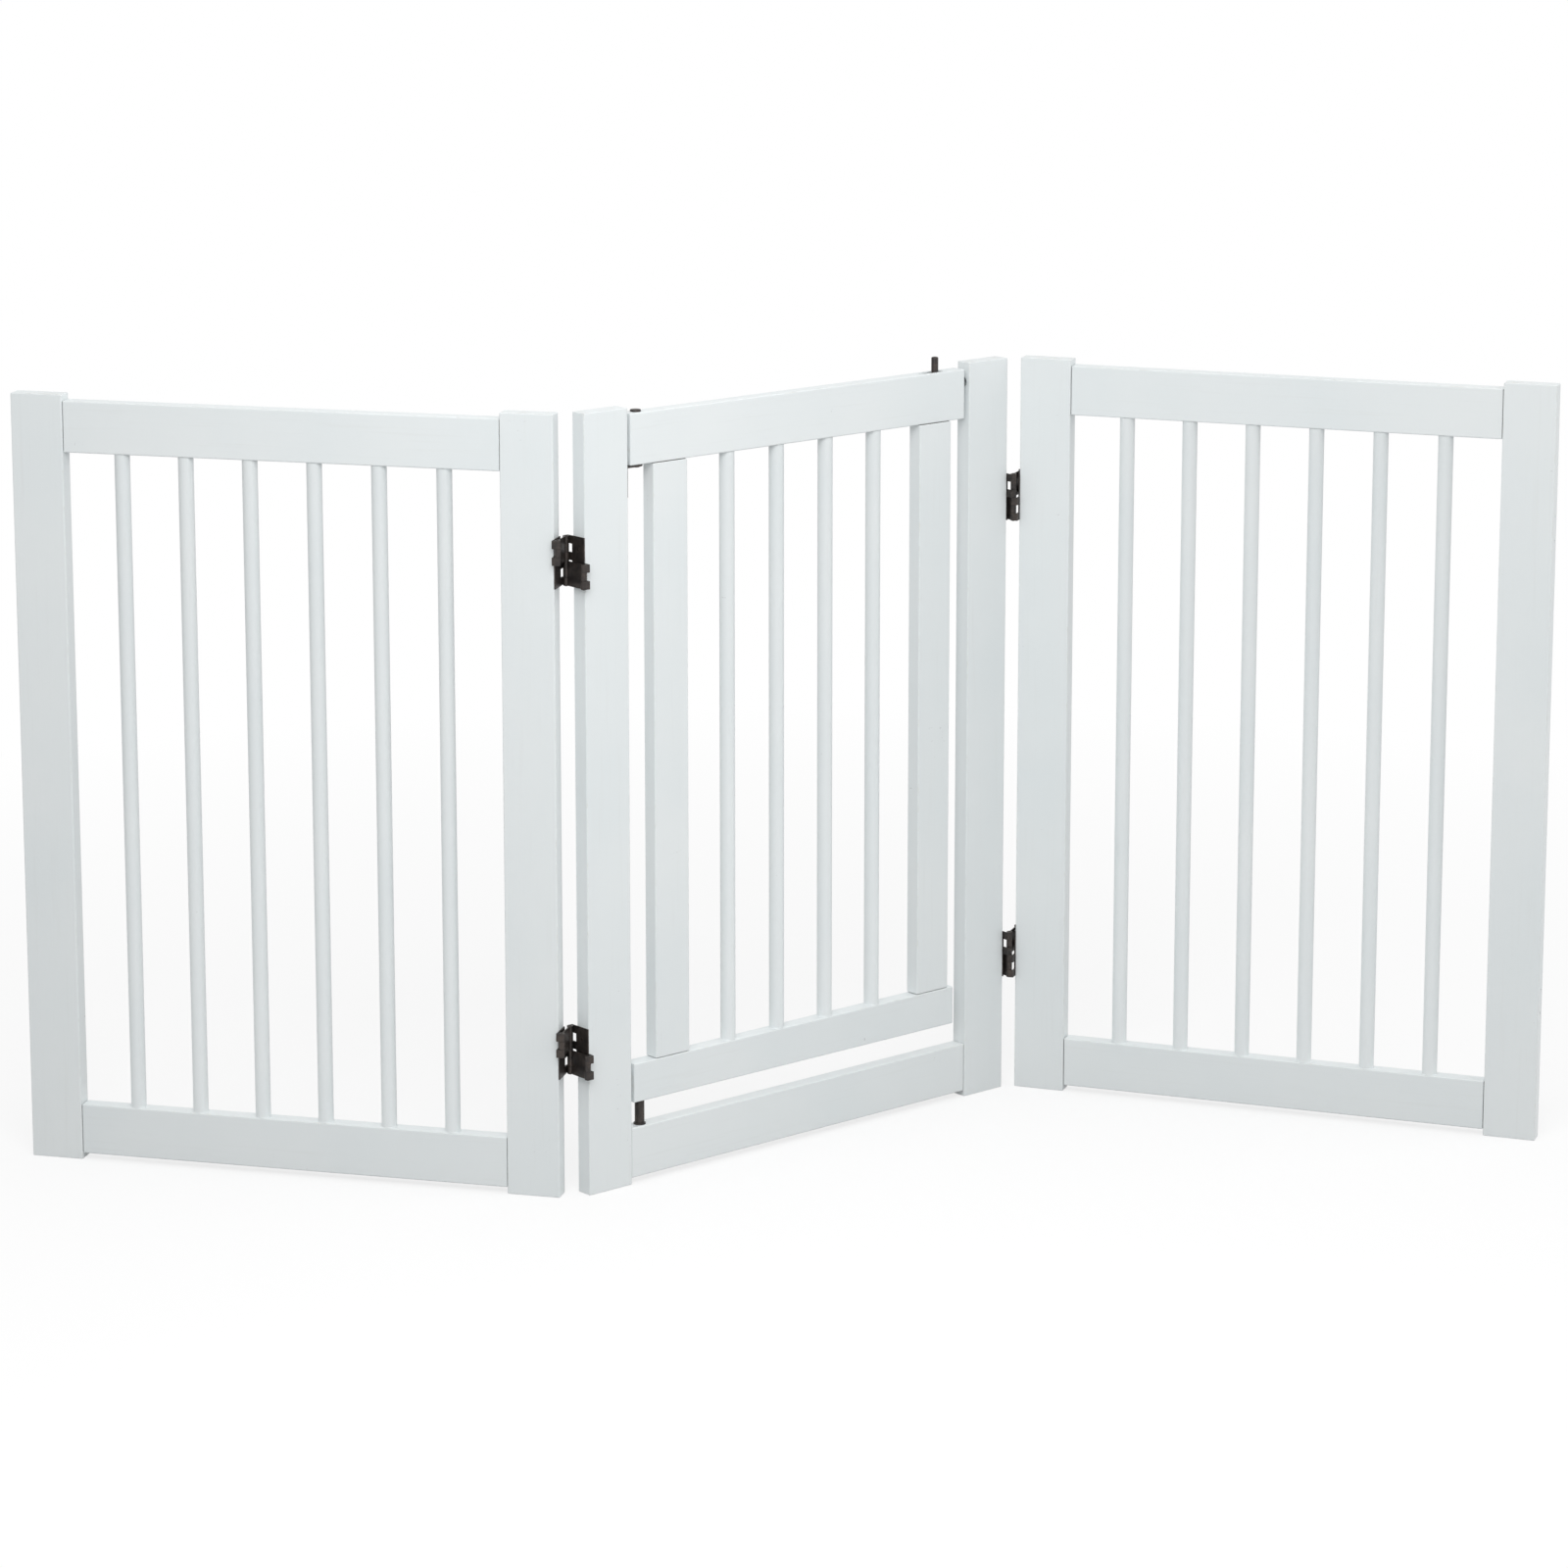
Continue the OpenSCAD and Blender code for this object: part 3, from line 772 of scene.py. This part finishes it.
class GatePaint(bpy.types.PropertyGroup):
    """The white paint on the wood"""

    colour: FloatVectorProperty(
        name="Paint",
        description="Colour of the paint",
        subtype="COLOR",
        default=(0.80, 0.835, 0.84),
    )
    shade: FloatVectorProperty(
        name="Shade",
        description="Colour of its cooler patches",
        subtype="COLOR",
        default=(0.765, 0.81, 0.82),
    )
    grain_colour: FloatVectorProperty(
        name="Grain",
        description="Tint of the grain lines",
        subtype="COLOR",
        default=(0.70, 0.72, 0.71),
    )
    wear_colour: FloatVectorProperty(
        name="Thin paint",
        description="Colour where the paint is thin on an edge",
        subtype="COLOR",
        default=(0.62, 0.60, 0.54),
    )
    scuff_colour: FloatVectorProperty(
        name="Scuff",
        description="Colour of the small scuffs",
        subtype="COLOR",
        default=(0.28, 0.28, 0.28),
    )
    grain_tint: FloatProperty(
        name="Grain tint",
        description="How much the grain shows",
        subtype="FACTOR",
        default=0.28,
        min=0,
        max=1,
    )
    edge_wear: FloatProperty(
        name="Edge wear",
        description="How much the edges are worn",
        subtype="FACTOR",
        default=0.45,
        min=0,
        max=1,
    )
    scuffs: FloatProperty(
        name="Scuffs",
        description="How dark the scuffs are",
        subtype="FACTOR",
        default=0.45,
        min=0,
        max=1,
    )
    roughness: FloatProperty(
        name="Roughness",
        description="Mean roughness of the paint",
        subtype="FACTOR",
        default=0.42,
        min=0.1,
        max=0.9,
    )
    grain_depth: FloatProperty(
        name="Grain depth",
        description="Height of the grain under the paint",
        default=0.12 * MM,
        precision=5,
        unit="LENGTH",
    )


class GateMetal(bpy.types.PropertyGroup):
    """The black finish of the fittings"""

    colour: FloatVectorProperty(
        name="Black",
        description="Colour of the finish",
        subtype="COLOR",
        default=(0.036, 0.032, 0.031),
    )
    brown: FloatVectorProperty(
        name="Brown",
        description="Colour of its browner patches",
        subtype="COLOR",
        default=(0.075, 0.06, 0.052),
    )
    bare_colour: FloatVectorProperty(
        name="Rubbed",
        description="Colour where it is rubbed thin",
        subtype="COLOR",
        default=(0.16, 0.145, 0.13),
    )
    wear: FloatProperty(
        name="Wear",
        description="How much of it is rubbed",
        subtype="FACTOR",
        default=0.5,
        min=0,
        max=1,
    )
    roughness: FloatProperty(
        name="Roughness",
        description="Mean roughness of the finish",
        subtype="FACTOR",
        default=0.45,
        min=0.15,
        max=0.9,
    )


class GateStage(bpy.types.PropertyGroup):
    """Studio round the gate"""

    camera_at: FloatVectorProperty(
        name="Camera",
        description="Where the camera stands",
        subtype="TRANSLATION",
        unit="LENGTH",
        default=(-2.977, -3.457, 1.470),
    )
    camera_tilt: FloatProperty(
        name="Tilt",
        description="Tilt of the camera up from straight down",
        subtype="ANGLE",
        default=math.radians(79.25),
    )
    camera_turn: FloatProperty(
        name="Turn",
        description="Turn of the camera about the vertical",
        subtype="ANGLE",
        default=math.radians(-40.66),
    )
    lens: FloatProperty(
        name="Lens",
        description="Focal length in millimetres",
        default=109.77,
        min=10,
    )
    shift_down: FloatProperty(
        name="Shift",
        description="Share of the picture that the lens is shifted down",
        subtype="FACTOR",
        default=0.15,
        min=0,
        max=1,
    )
    front_power: FloatProperty(
        name="Front lamp",
        description="Power of the lamp over the camera's side",
        default=19,
        min=0,
        unit="POWER",
    )
    side_power: FloatProperty(
        name="Side lamp",
        description="Power of the lamp on the right",
        default=15,
        min=0,
        unit="POWER",
    )
    top_power: FloatProperty(
        name="Top lamp",
        description="Power of the lamp overhead",
        default=8,
        min=0,
        unit="POWER",
    )
    room_light: FloatProperty(
        name="Room light",
        description="Strength of the even light from all round",
        default=0.62,
        min=0,
    )
    floor_radius: FloatProperty(
        name="Floor",
        description="Radius of the floor",
        default=14,
        min=2,
        unit="LENGTH",
    )
    floor_sides: IntProperty(
        name="Floor sides",
        description="Number of sides of the floor",
        default=96,
        min=12,
    )


# ---------- operators ----------


class GATE_OT_posts(bpy.types.Operator):
    """Build the six painted posts"""

    bl_idname = "gate.posts"
    bl_label = "Posts"

    def execute(self, context):
        for node in ("centre_left_post", "centre_right_post"):
            post = board("centre", node, upright=True)
            if node == "centre_right_post":
                self.drill_keeper(post)
            painted(post, node)
        for side in SIDES:
            for edge in ("inner", "outer"):
                node = f"{side}_{edge}_post"
                post = board(side, node, upright=True)
                if edge == "outer":
                    self.drill_pilot_holes(post, side)
                painted(post, node)
        return {"FINISHED"}

    def drill_keeper(self, post):
        """The hole that the bolt slides into."""
        place = PLACES["centre"]
        bolt_low, bolt_high = box_in(place, "latch_bolt")
        face = box_in(place, "threshold_rail")[1].x
        reach = bolt_high.x + joints["latch_slide"]["range_m"][1] - face
        height = (bolt_low.z + bolt_high.z) / 2
        radius = (bolt_high.z - bolt_low.z) / 2 + KEEPER_CLEARANCE
        drill(post, place @ lying(face, 0, height), radius, reach + KEEPER_SPARE)

    def drill_pilot_holes(self, post, side):
        """Two holes at each hinge height in the outer edge, for one more panel."""
        inward = Matrix.Rotation(math.pi, 4, "Z")
        for level in HINGE_ENDS:
            mount = mounts[f"{side}_edge_{level}_holes"]
            dims = mount["dims"]
            for sign in (-1, 1):
                z = mount["pos_m"][2] + sign * dims["pcd_mm"] / 2 * MM
                place = PLACES[side] @ Matrix.Translation((0, 0, z)) @ inward
                drill(post, place, dims["hole_r_mm"] * MM, PILOT_DEPTH)


class GATE_OT_rails(bpy.types.Operator):
    """Build the rails of the side panels and the threshold rail"""

    bl_idname = "gate.rails"
    bl_label = "Rails"

    def execute(self, context):
        seam = context.scene.gate_boards.seam
        rails = [("centre", "threshold_rail")]
        rails += [(side, f"{side}_{level}_rail") for side in SIDES for level in ("top", "bottom")]
        for panel, node in rails:
            painted(board(panel, node, upright=False, seam=seam), node, raw_shaded_ends=True)
        return {"FINISHED"}


class GATE_OT_door(bpy.types.Operator):
    """Build the door's rails and stiles, with the bolt's bore and slot"""

    bl_idname = "gate.door"
    bl_label = "Door"

    def execute(self, context):
        seam = context.scene.gate_boards.seam
        top_rail = board("centre", "door_top_rail", upright=False)
        self.cut_latch(top_rail)
        painted(top_rail, "door_top_rail")
        low_rail = board("centre", "door_low_rail", upright=False)
        self.drill_low_pivot(low_rail)
        painted(low_rail, "door_low_rail")
        for side in SIDES:
            node = f"door_{side}_stile"
            painted(board("centre", node, upright=True, seam=seam), node, raw_shaded_ends=True)
        return {"FINISHED"}

    def cut_latch(self, rail):
        """The bore that the bolt slides in, and the slot for its knob."""
        place = PLACES["centre"]
        back, forth = joints["latch_slide"]["range_m"]
        bolt_low, bolt_high = box_in(place, "latch_bolt")
        knob_low, knob_high = box_in(place, "latch_knob")
        rail_high = box_in(place, "door_top_rail")[1]
        bolt_z = (bolt_low.z + bolt_high.z) / 2
        tail = bolt_low.x + back - BOLT_TAIL_ROOM
        radius = (bolt_high.z - bolt_low.z) / 2 + BORE_CLEARANCE
        drill(rail, place @ lying(tail, 0, bolt_z), radius, rail_high.x - tail + CUTTER_SPARE)
        width = knob_high.x - knob_low.x + KNOB_CLEARANCE
        depth = rail_high.z - bolt_z + CUTTER_SPARE
        slot = slot_mesh("slot", width + forth - back, width, depth)
        middle = (knob_low.x + knob_high.x + back + forth) / 2
        cut(rail, add_object("slot", slot, place @ Matrix.Translation((middle, 0, bolt_z))))

    def drill_low_pivot(self, rail):
        """The hole that the lower pivot pin stands in."""
        place = PLACES["centre"]
        pin_low, pin_high = box_in(place, "low_pivot_pin")
        foot = box_in(place, "door_low_rail")[0].z
        x = (pin_low.x + pin_high.x) / 2
        radius = LOW_PIN_RADIUS + BORE_CLEARANCE
        drill(rail, place @ standing(x, 0, foot), radius, pin_high.z - foot + LOW_PIN_ROOM)


class GATE_OT_spindles(bpy.types.Operator):
    """Turn the spindles, with a thin collar of paint where they meet the rails"""

    bl_idname = "gate.spindles"
    bl_label = "Spindles"

    def execute(self, context):
        for number in range(1, SPINDLES_IN_DOOR + 1):
            self.turn("centre", f"door_spindle_{number}", "door_low_rail", "door_top_rail")
        for side in SIDES:
            for number in range(1, SPINDLES_PER_SIDE + 1):
                node = f"{side}_spindle_{number}"
                self.turn(side, node, f"{side}_bottom_rail", f"{side}_top_rail")
        return {"FINISHED"}

    def turn(self, panel, node, lower_rail, upper_rail):
        """One spindle between two rails, with its tenons inside them."""
        place = PLACES[panel]
        low, high = box_in(place, node)
        foot = box_in(place, lower_rail)[1].z
        head = box_in(place, upper_rail)[0].z
        radius = (high.y - low.y) / 2
        tenon_radius = radius * TENON_SHARE
        half = (head - foot) / 2
        end = half + foot - low.z
        rod = [(end, tenon_radius), (half, tenon_radius), (half, radius + COLLAR)]
        rod += [(half - COLLAR_MIDDLE, radius + COLLAR / 2), (half - COLLAR_END, radius)]
        profile = [(-x, r) for x, r in rod] + list(reversed(rod))
        own = standing_in(low, high, (foot + head) / 2)
        turned_piece(f"{node}_rod", profile, place @ own, paint_material(), node)


class GATE_OT_pivots(bpy.types.Operator):
    """Build the door's two pivot pins and finish its bracket"""

    bl_idname = "gate.pivots"
    bl_label = "Door pivots"

    def execute(self, context):
        place = PLACES["centre"]
        self.make_pin(place, "top_pivot_pin", self.top_profile)
        self.make_pin(place, "low_pivot_pin", self.low_profile)
        finish_node("pivot_bracket", steel_material(), BRACKET_SOFTNESS)
        return {"FINISHED"}

    def top_profile(self, place, low, high):
        """A pin whose round head lies on the door's top rail."""
        shoulder = box_in(place, "door_top_rail")[1].z
        head = (high.x - low.x) / 2
        profile = mirrored(eased_end(-low.z, TOP_PIN_RADIUS, FOOT_EASE))
        profile += [(shoulder, TOP_PIN_RADIUS), (shoulder, head)]
        return profile + eased_end(high.z, head, TOP_PIN_HEAD_EASE)

    def low_profile(self, place, low, high):
        """A pin with a thin flange on the threshold rail."""
        shoulder = box_in(place, "threshold_rail")[1].z
        flange = (high.x - low.x) / 2
        flange_top = shoulder + FLANGE_HEIGHT
        profile = mirrored(eased_end(-low.z, LOW_PIN_RADIUS, FOOT_EASE))
        profile += [(shoulder, LOW_PIN_RADIUS), (shoulder, flange)]
        profile += eased_end(flange_top, flange, FLANGE_EASE)
        profile += [(flange_top, LOW_PIN_RADIUS)]
        return profile + eased_end(high.z, LOW_PIN_RADIUS, LOW_PIN_TIP_EASE)

    def make_pin(self, place, node, profile_of):
        """A standing pin in the middle of its node's box."""
        low, high = box_in(place, node)
        own = standing_in(low, high)
        profile = profile_of(place, low, high)
        turned_piece(f"{node}_turned", profile, place @ own, steel_material(), node)


class GATE_OT_latch(bpy.types.Operator):
    """Build the sliding bolt and its knob"""

    bl_idname = "gate.latch"
    bl_label = "Latch"

    def execute(self, context):
        place = PLACES["centre"]
        self.bolt(place)
        self.knob(place)
        return {"FINISHED"}

    def bolt(self, place):
        """A rod with a domed tip."""
        low, high = box_in(place, "latch_bolt")
        radius = (high.z - low.z) / 2
        profile = mirrored(eased_end(-low.x, radius, FOOT_EASE))
        profile += domed_end(high.x, radius, BOLT_DOME, BOLT_FLAT)
        own = lying(0, 0, (low.z + high.z) / 2)
        turned_piece("latch_bolt_turned", profile, place @ own, steel_material(), "latch_bolt")

    def knob(self, place):
        """A thin stem in the bolt, and a thicker grip from inside the slot to its flat top."""
        low, high = box_in(place, "latch_knob")
        radius = (high.x - low.x) / 2
        stem = radius * STEM_SHARE
        shoulder = box_in(place, "door_top_rail")[1].z - KNOB_IN_SLOT
        profile = mirrored(eased_end(-low.z, stem, STEM_EASE))
        profile += [(shoulder, stem), (shoulder, radius)]
        profile += eased_end(high.z - KNOB_CROWN, radius, KNOB_EASE)
        profile += [(high.z, radius * KNOB_CROWN_SHARE)]
        own = standing_in(low, high)
        turned_piece("latch_knob_turned", profile, place @ own, steel_material(), "latch_knob")


class GATE_OT_hinges(bpy.types.Operator):
    """Finish the hinge leaves and links, and build their domed pins"""

    bl_idname = "gate.hinges"
    bl_label = "Hinges"

    def execute(self, context):
        leaves = [f"centre_{side}_{level}_leaf" for side in SIDES for level in HINGE_ENDS]
        leaves += [f"{side}_{level}_leaf" for side in SIDES for level in HINGE_ENDS]
        links = [f"{side}_{half}_links" for side in SIDES for half in ("upper", "lower")]
        for node in leaves + links:
            finish_node(node, steel_material(), HINGE_SOFTNESS)
        for panel in PANELS:
            self.pins(panel)
        return {"FINISHED"}

    def pins(self, panel):
        """Domed pins in the same places as the node's plain ones."""
        node = f"{panel}_hinge_pins"
        name = f"{node}_domed"
        place = PLACES[panel]
        copies = []
        for low, high in boxes_in(place, node):
            radius = (high.x - low.x) / 2
            profile = mirrored(eased_end(-low.z, radius, HINGE_PIN_EASE))
            profile += domed_end(high.z, radius, HINGE_PIN_DOME)
            mesh = turned_mesh("pin", profile, HINGE_PIN_STEPS)
            copies.append((mesh, standing_in(low, high)))
        settle(add_object(name, joined_mesh(name, copies), place), steel_material(), node)


class GATE_OT_screws(bpy.types.Operator):
    """Build the screws of the hinges and of the bracket, with crossed slots"""

    bl_idname = "gate.screws"
    bl_label = "Screws"

    def execute(self, context):
        for panel in PANELS:
            self.make(panel, f"{panel}_hinge_screws", HINGE_SCREW, domed=False)
        self.make("centre", "bracket_screws", BRACKET_SCREW, domed=True)
        return {"FINISHED"}

    def make(self, panel, node, kind, domed):
        """One mesh of all of a node's screws, each with its head where its own one is."""
        copies = []
        for low, high in boxes_in(PLACES[panel], node):
            # Hinge screws point into their own post, and the bracket's point to the left.
            head_at_high = domed or (panel == "centre" and low.x > 0)
            mesh = self.screw_mesh(high.x - low.x, (high.y - low.y) / 2, kind, domed)
            x = high.x if head_at_high else low.x
            own = Matrix.Translation((x, (low.y + high.y) / 2, (low.z + high.z) / 2))
            if head_at_high:
                own = own @ Matrix.Rotation(math.pi, 4, "Z")
            copies.append((mesh, own))
        name = f"{node}_crossed"
        screws = add_object(name, joined_mesh(name, copies), PLACES[panel])
        settle(screws, steel_material(), node)

    def screw_mesh(self, length, head, kind, domed):
        """A screw that goes into +X from the top of its head."""
        head_height, shank = kind
        if domed:
            profile = mirrored(domed_end(0, head, head_height, SCREW_DOME_FLAT))
            profile += [(head_height, shank)]
        else:
            profile = [(0, head * SCREW_FACE_SHARE), (SCREW_RIM, head), (head_height, shank)]
        profile += [(length - SCREW_TIP, shank), (length, shank * SCREW_TIP_SHARE)]
        mesh = turned_mesh("screw", profile, SCREW_STEPS)
        screw = add_object("screw", mesh, Matrix.Identity(4))
        depth = 2 * DRIVER_DEPTH
        across = head * DRIVER_LENGTH_SHARE
        for turn in (0, 90):
            slot = board_mesh("driver", depth, across, DRIVER_WIDTH, DRIVER_EASE, DRIVER_EASE)
            cut(screw, add_object("driver", slot, Matrix.Rotation(math.radians(turn), 4, "X")))
        mesh = screw.data
        bpy.data.objects.remove(screw)
        return mesh


class GATE_OT_dowels(bpy.types.Operator):
    """Give the hidden dowels their bare wood"""

    bl_idname = "gate.dowels"
    bl_label = "Dowels"

    def execute(self, context):
        for owner in ("centre", "door", *SIDES):
            finish_node(f"{owner}_dowels", dowel_material(), DOWEL_SOFTNESS)
        return {"FINISHED"}


class GATE_OT_stage(bpy.types.Operator):
    """Build the floor, the room light, the lamps and the camera"""

    bl_idname = "gate.stage"
    bl_label = "Studio"

    def execute(self, context):
        stage = context.scene.gate_stage
        context.scene.view_settings.view_transform = "Standard"
        self.floor(stage)
        self.room(context.scene, stage)
        self.lamps(context.scene, stage)
        self.camera(context.scene, stage)
        return {"FINISHED"}

    def floor(self, stage):
        """A wide round floor just under the posts."""
        work = bmesh.new()
        bmesh.ops.create_circle(
            work, cap_ends=True, radius=stage.floor_radius, segments=stage.floor_sides
        )
        mesh = bpy.data.meshes.new("floor")
        work.to_mesh(mesh)
        work.free()
        mesh.materials.append(self.floor_material())
        add_object("floor", mesh, Matrix.Translation((0, 0, -FLOOR_DROP)))

    def floor_material(self):
        """Shown white with the gate's soft shadow, plain white far out, and grey as a light."""
        material = bpy.data.materials.new("studio_floor")
        material.use_nodes = True
        tree = material.node_tree
        tree.nodes.clear()
        near = add_node(tree, "ShaderNodeBsdfDiffuse", Color=FLOOR_WHITE).outputs["BSDF"]
        plain = add_node(tree, "ShaderNodeEmission", Color=WHITE, Strength=1.0)
        grey = add_node(tree, "ShaderNodeBsdfDiffuse", Color=FLOOR_GREY).outputs["BSDF"]
        distance = tree.nodes.new("ShaderNodeVectorMath")
        distance.operation = "LENGTH"
        where = tree.nodes.new("ShaderNodeTexCoord").outputs["Object"]
        tree.links.new(where, distance.inputs[0])
        metres = distance.outputs["Value"]
        far = steps_between(tree, metres, FADE_START, FADE_END, to_low=LEAST_FADE)
        shown = mixed(tree, far, near, plain.outputs["Emission"])
        surface = mixed(tree, seen_rays(tree), grey, shown)
        add_node(tree, "ShaderNodeOutputMaterial", Surface=surface)
        return material

    def room(self, scene, stage):
        """Even light on the gate, and plain white behind it and in its reflections."""
        world = bpy.data.worlds.new("studio_room")
        scene.world = world
        world.use_nodes = True
        tree = world.node_tree
        background = tree.nodes["Background"]
        background.inputs["Color"].default_value = WHITE
        strength = steps_between(tree, seen_rays(tree), 0, 1, to_low=stage.room_light)
        tree.links.new(strength, background.inputs["Strength"])

    def lamps(self, scene, stage):
        """Soft lamps that turn with the camera and face the middle of the doorway."""
        turn = Matrix.Rotation(stage.camera_turn, 4, "Z")
        middle = doorway_middle()
        middle.z = (cad_box[0].z + cad_box[1].z) / 2
        for name, power, size, offset in LAMPS:
            light = bpy.data.lights.new(name, "AREA")
            light.energy = getattr(stage, power)
            light.size = size
            lamp = bpy.data.objects.new(name, light)
            scene.collection.objects.link(lamp)
            lamp.location = middle + (turn @ offset)
            lamp.rotation_euler = (middle - lamp.location).to_track_quat("-Z", "Y").to_euler()
            lamp.visible_camera = False

    def camera(self, scene, stage):
        """The camera at the front left of the gate."""
        data = bpy.data.cameras.new("camera")
        data.lens = stage.lens
        data.shift_y = -stage.shift_down
        camera = bpy.data.objects.new("camera", data)
        scene.collection.objects.link(camera)
        camera.location = stage.camera_at
        camera.rotation_euler = (stage.camera_tilt, 0, stage.camera_turn)
        scene.camera = camera


# ---------- panel and registration ----------


SETTINGS = {
    "gate_boards": GateBoards,
    "gate_paint": GatePaint,
    "gate_metal": GateMetal,
    "gate_stage": GateStage,
}
OPERATORS = (
    GATE_OT_posts,
    GATE_OT_rails,
    GATE_OT_door,
    GATE_OT_spindles,
    GATE_OT_pivots,
    GATE_OT_latch,
    GATE_OT_hinges,
    GATE_OT_screws,
    GATE_OT_dowels,
    GATE_OT_stage,
)


class GATE_PT_panel(bpy.types.Panel):
    """Buttons that build the gate, in order, and its settings"""

    bl_idname = "GATE_PT_panel"
    bl_label = "Folding pet gate"
    bl_space_type = "VIEW_3D"
    bl_region_type = "UI"
    bl_category = "Gate"

    def draw(self, context):
        for operator in OPERATORS:
            self.layout.operator(operator.bl_idname)
        for settings in SETTINGS:
            group = getattr(context.scene, settings)
            box = self.layout.box()
            for name in group.bl_rna.properties.keys():
                if name not in ("rna_type", "name"):
                    box.prop(group, name)


CLASSES = (*SETTINGS.values(), *OPERATORS, GATE_PT_panel)


def register():
    for item in CLASSES:
        bpy.utils.register_class(item)
    for name, group in SETTINGS.items():
        setattr(bpy.types.Scene, name, PointerProperty(type=group))


def unregister():
    for name in SETTINGS:
        delattr(bpy.types.Scene, name)
    for item in reversed(CLASSES):
        bpy.utils.unregister_class(item)


def main():
    register()
    bpy.ops.gate.posts()
    bpy.ops.gate.rails()
    bpy.ops.gate.door()
    bpy.ops.gate.spindles()
    bpy.ops.gate.pivots()
    bpy.ops.gate.latch()
    bpy.ops.gate.hinges()
    bpy.ops.gate.screws()
    bpy.ops.gate.dowels()
    bpy.ops.gate.stage()


if __name__ == "__main__":
    main()
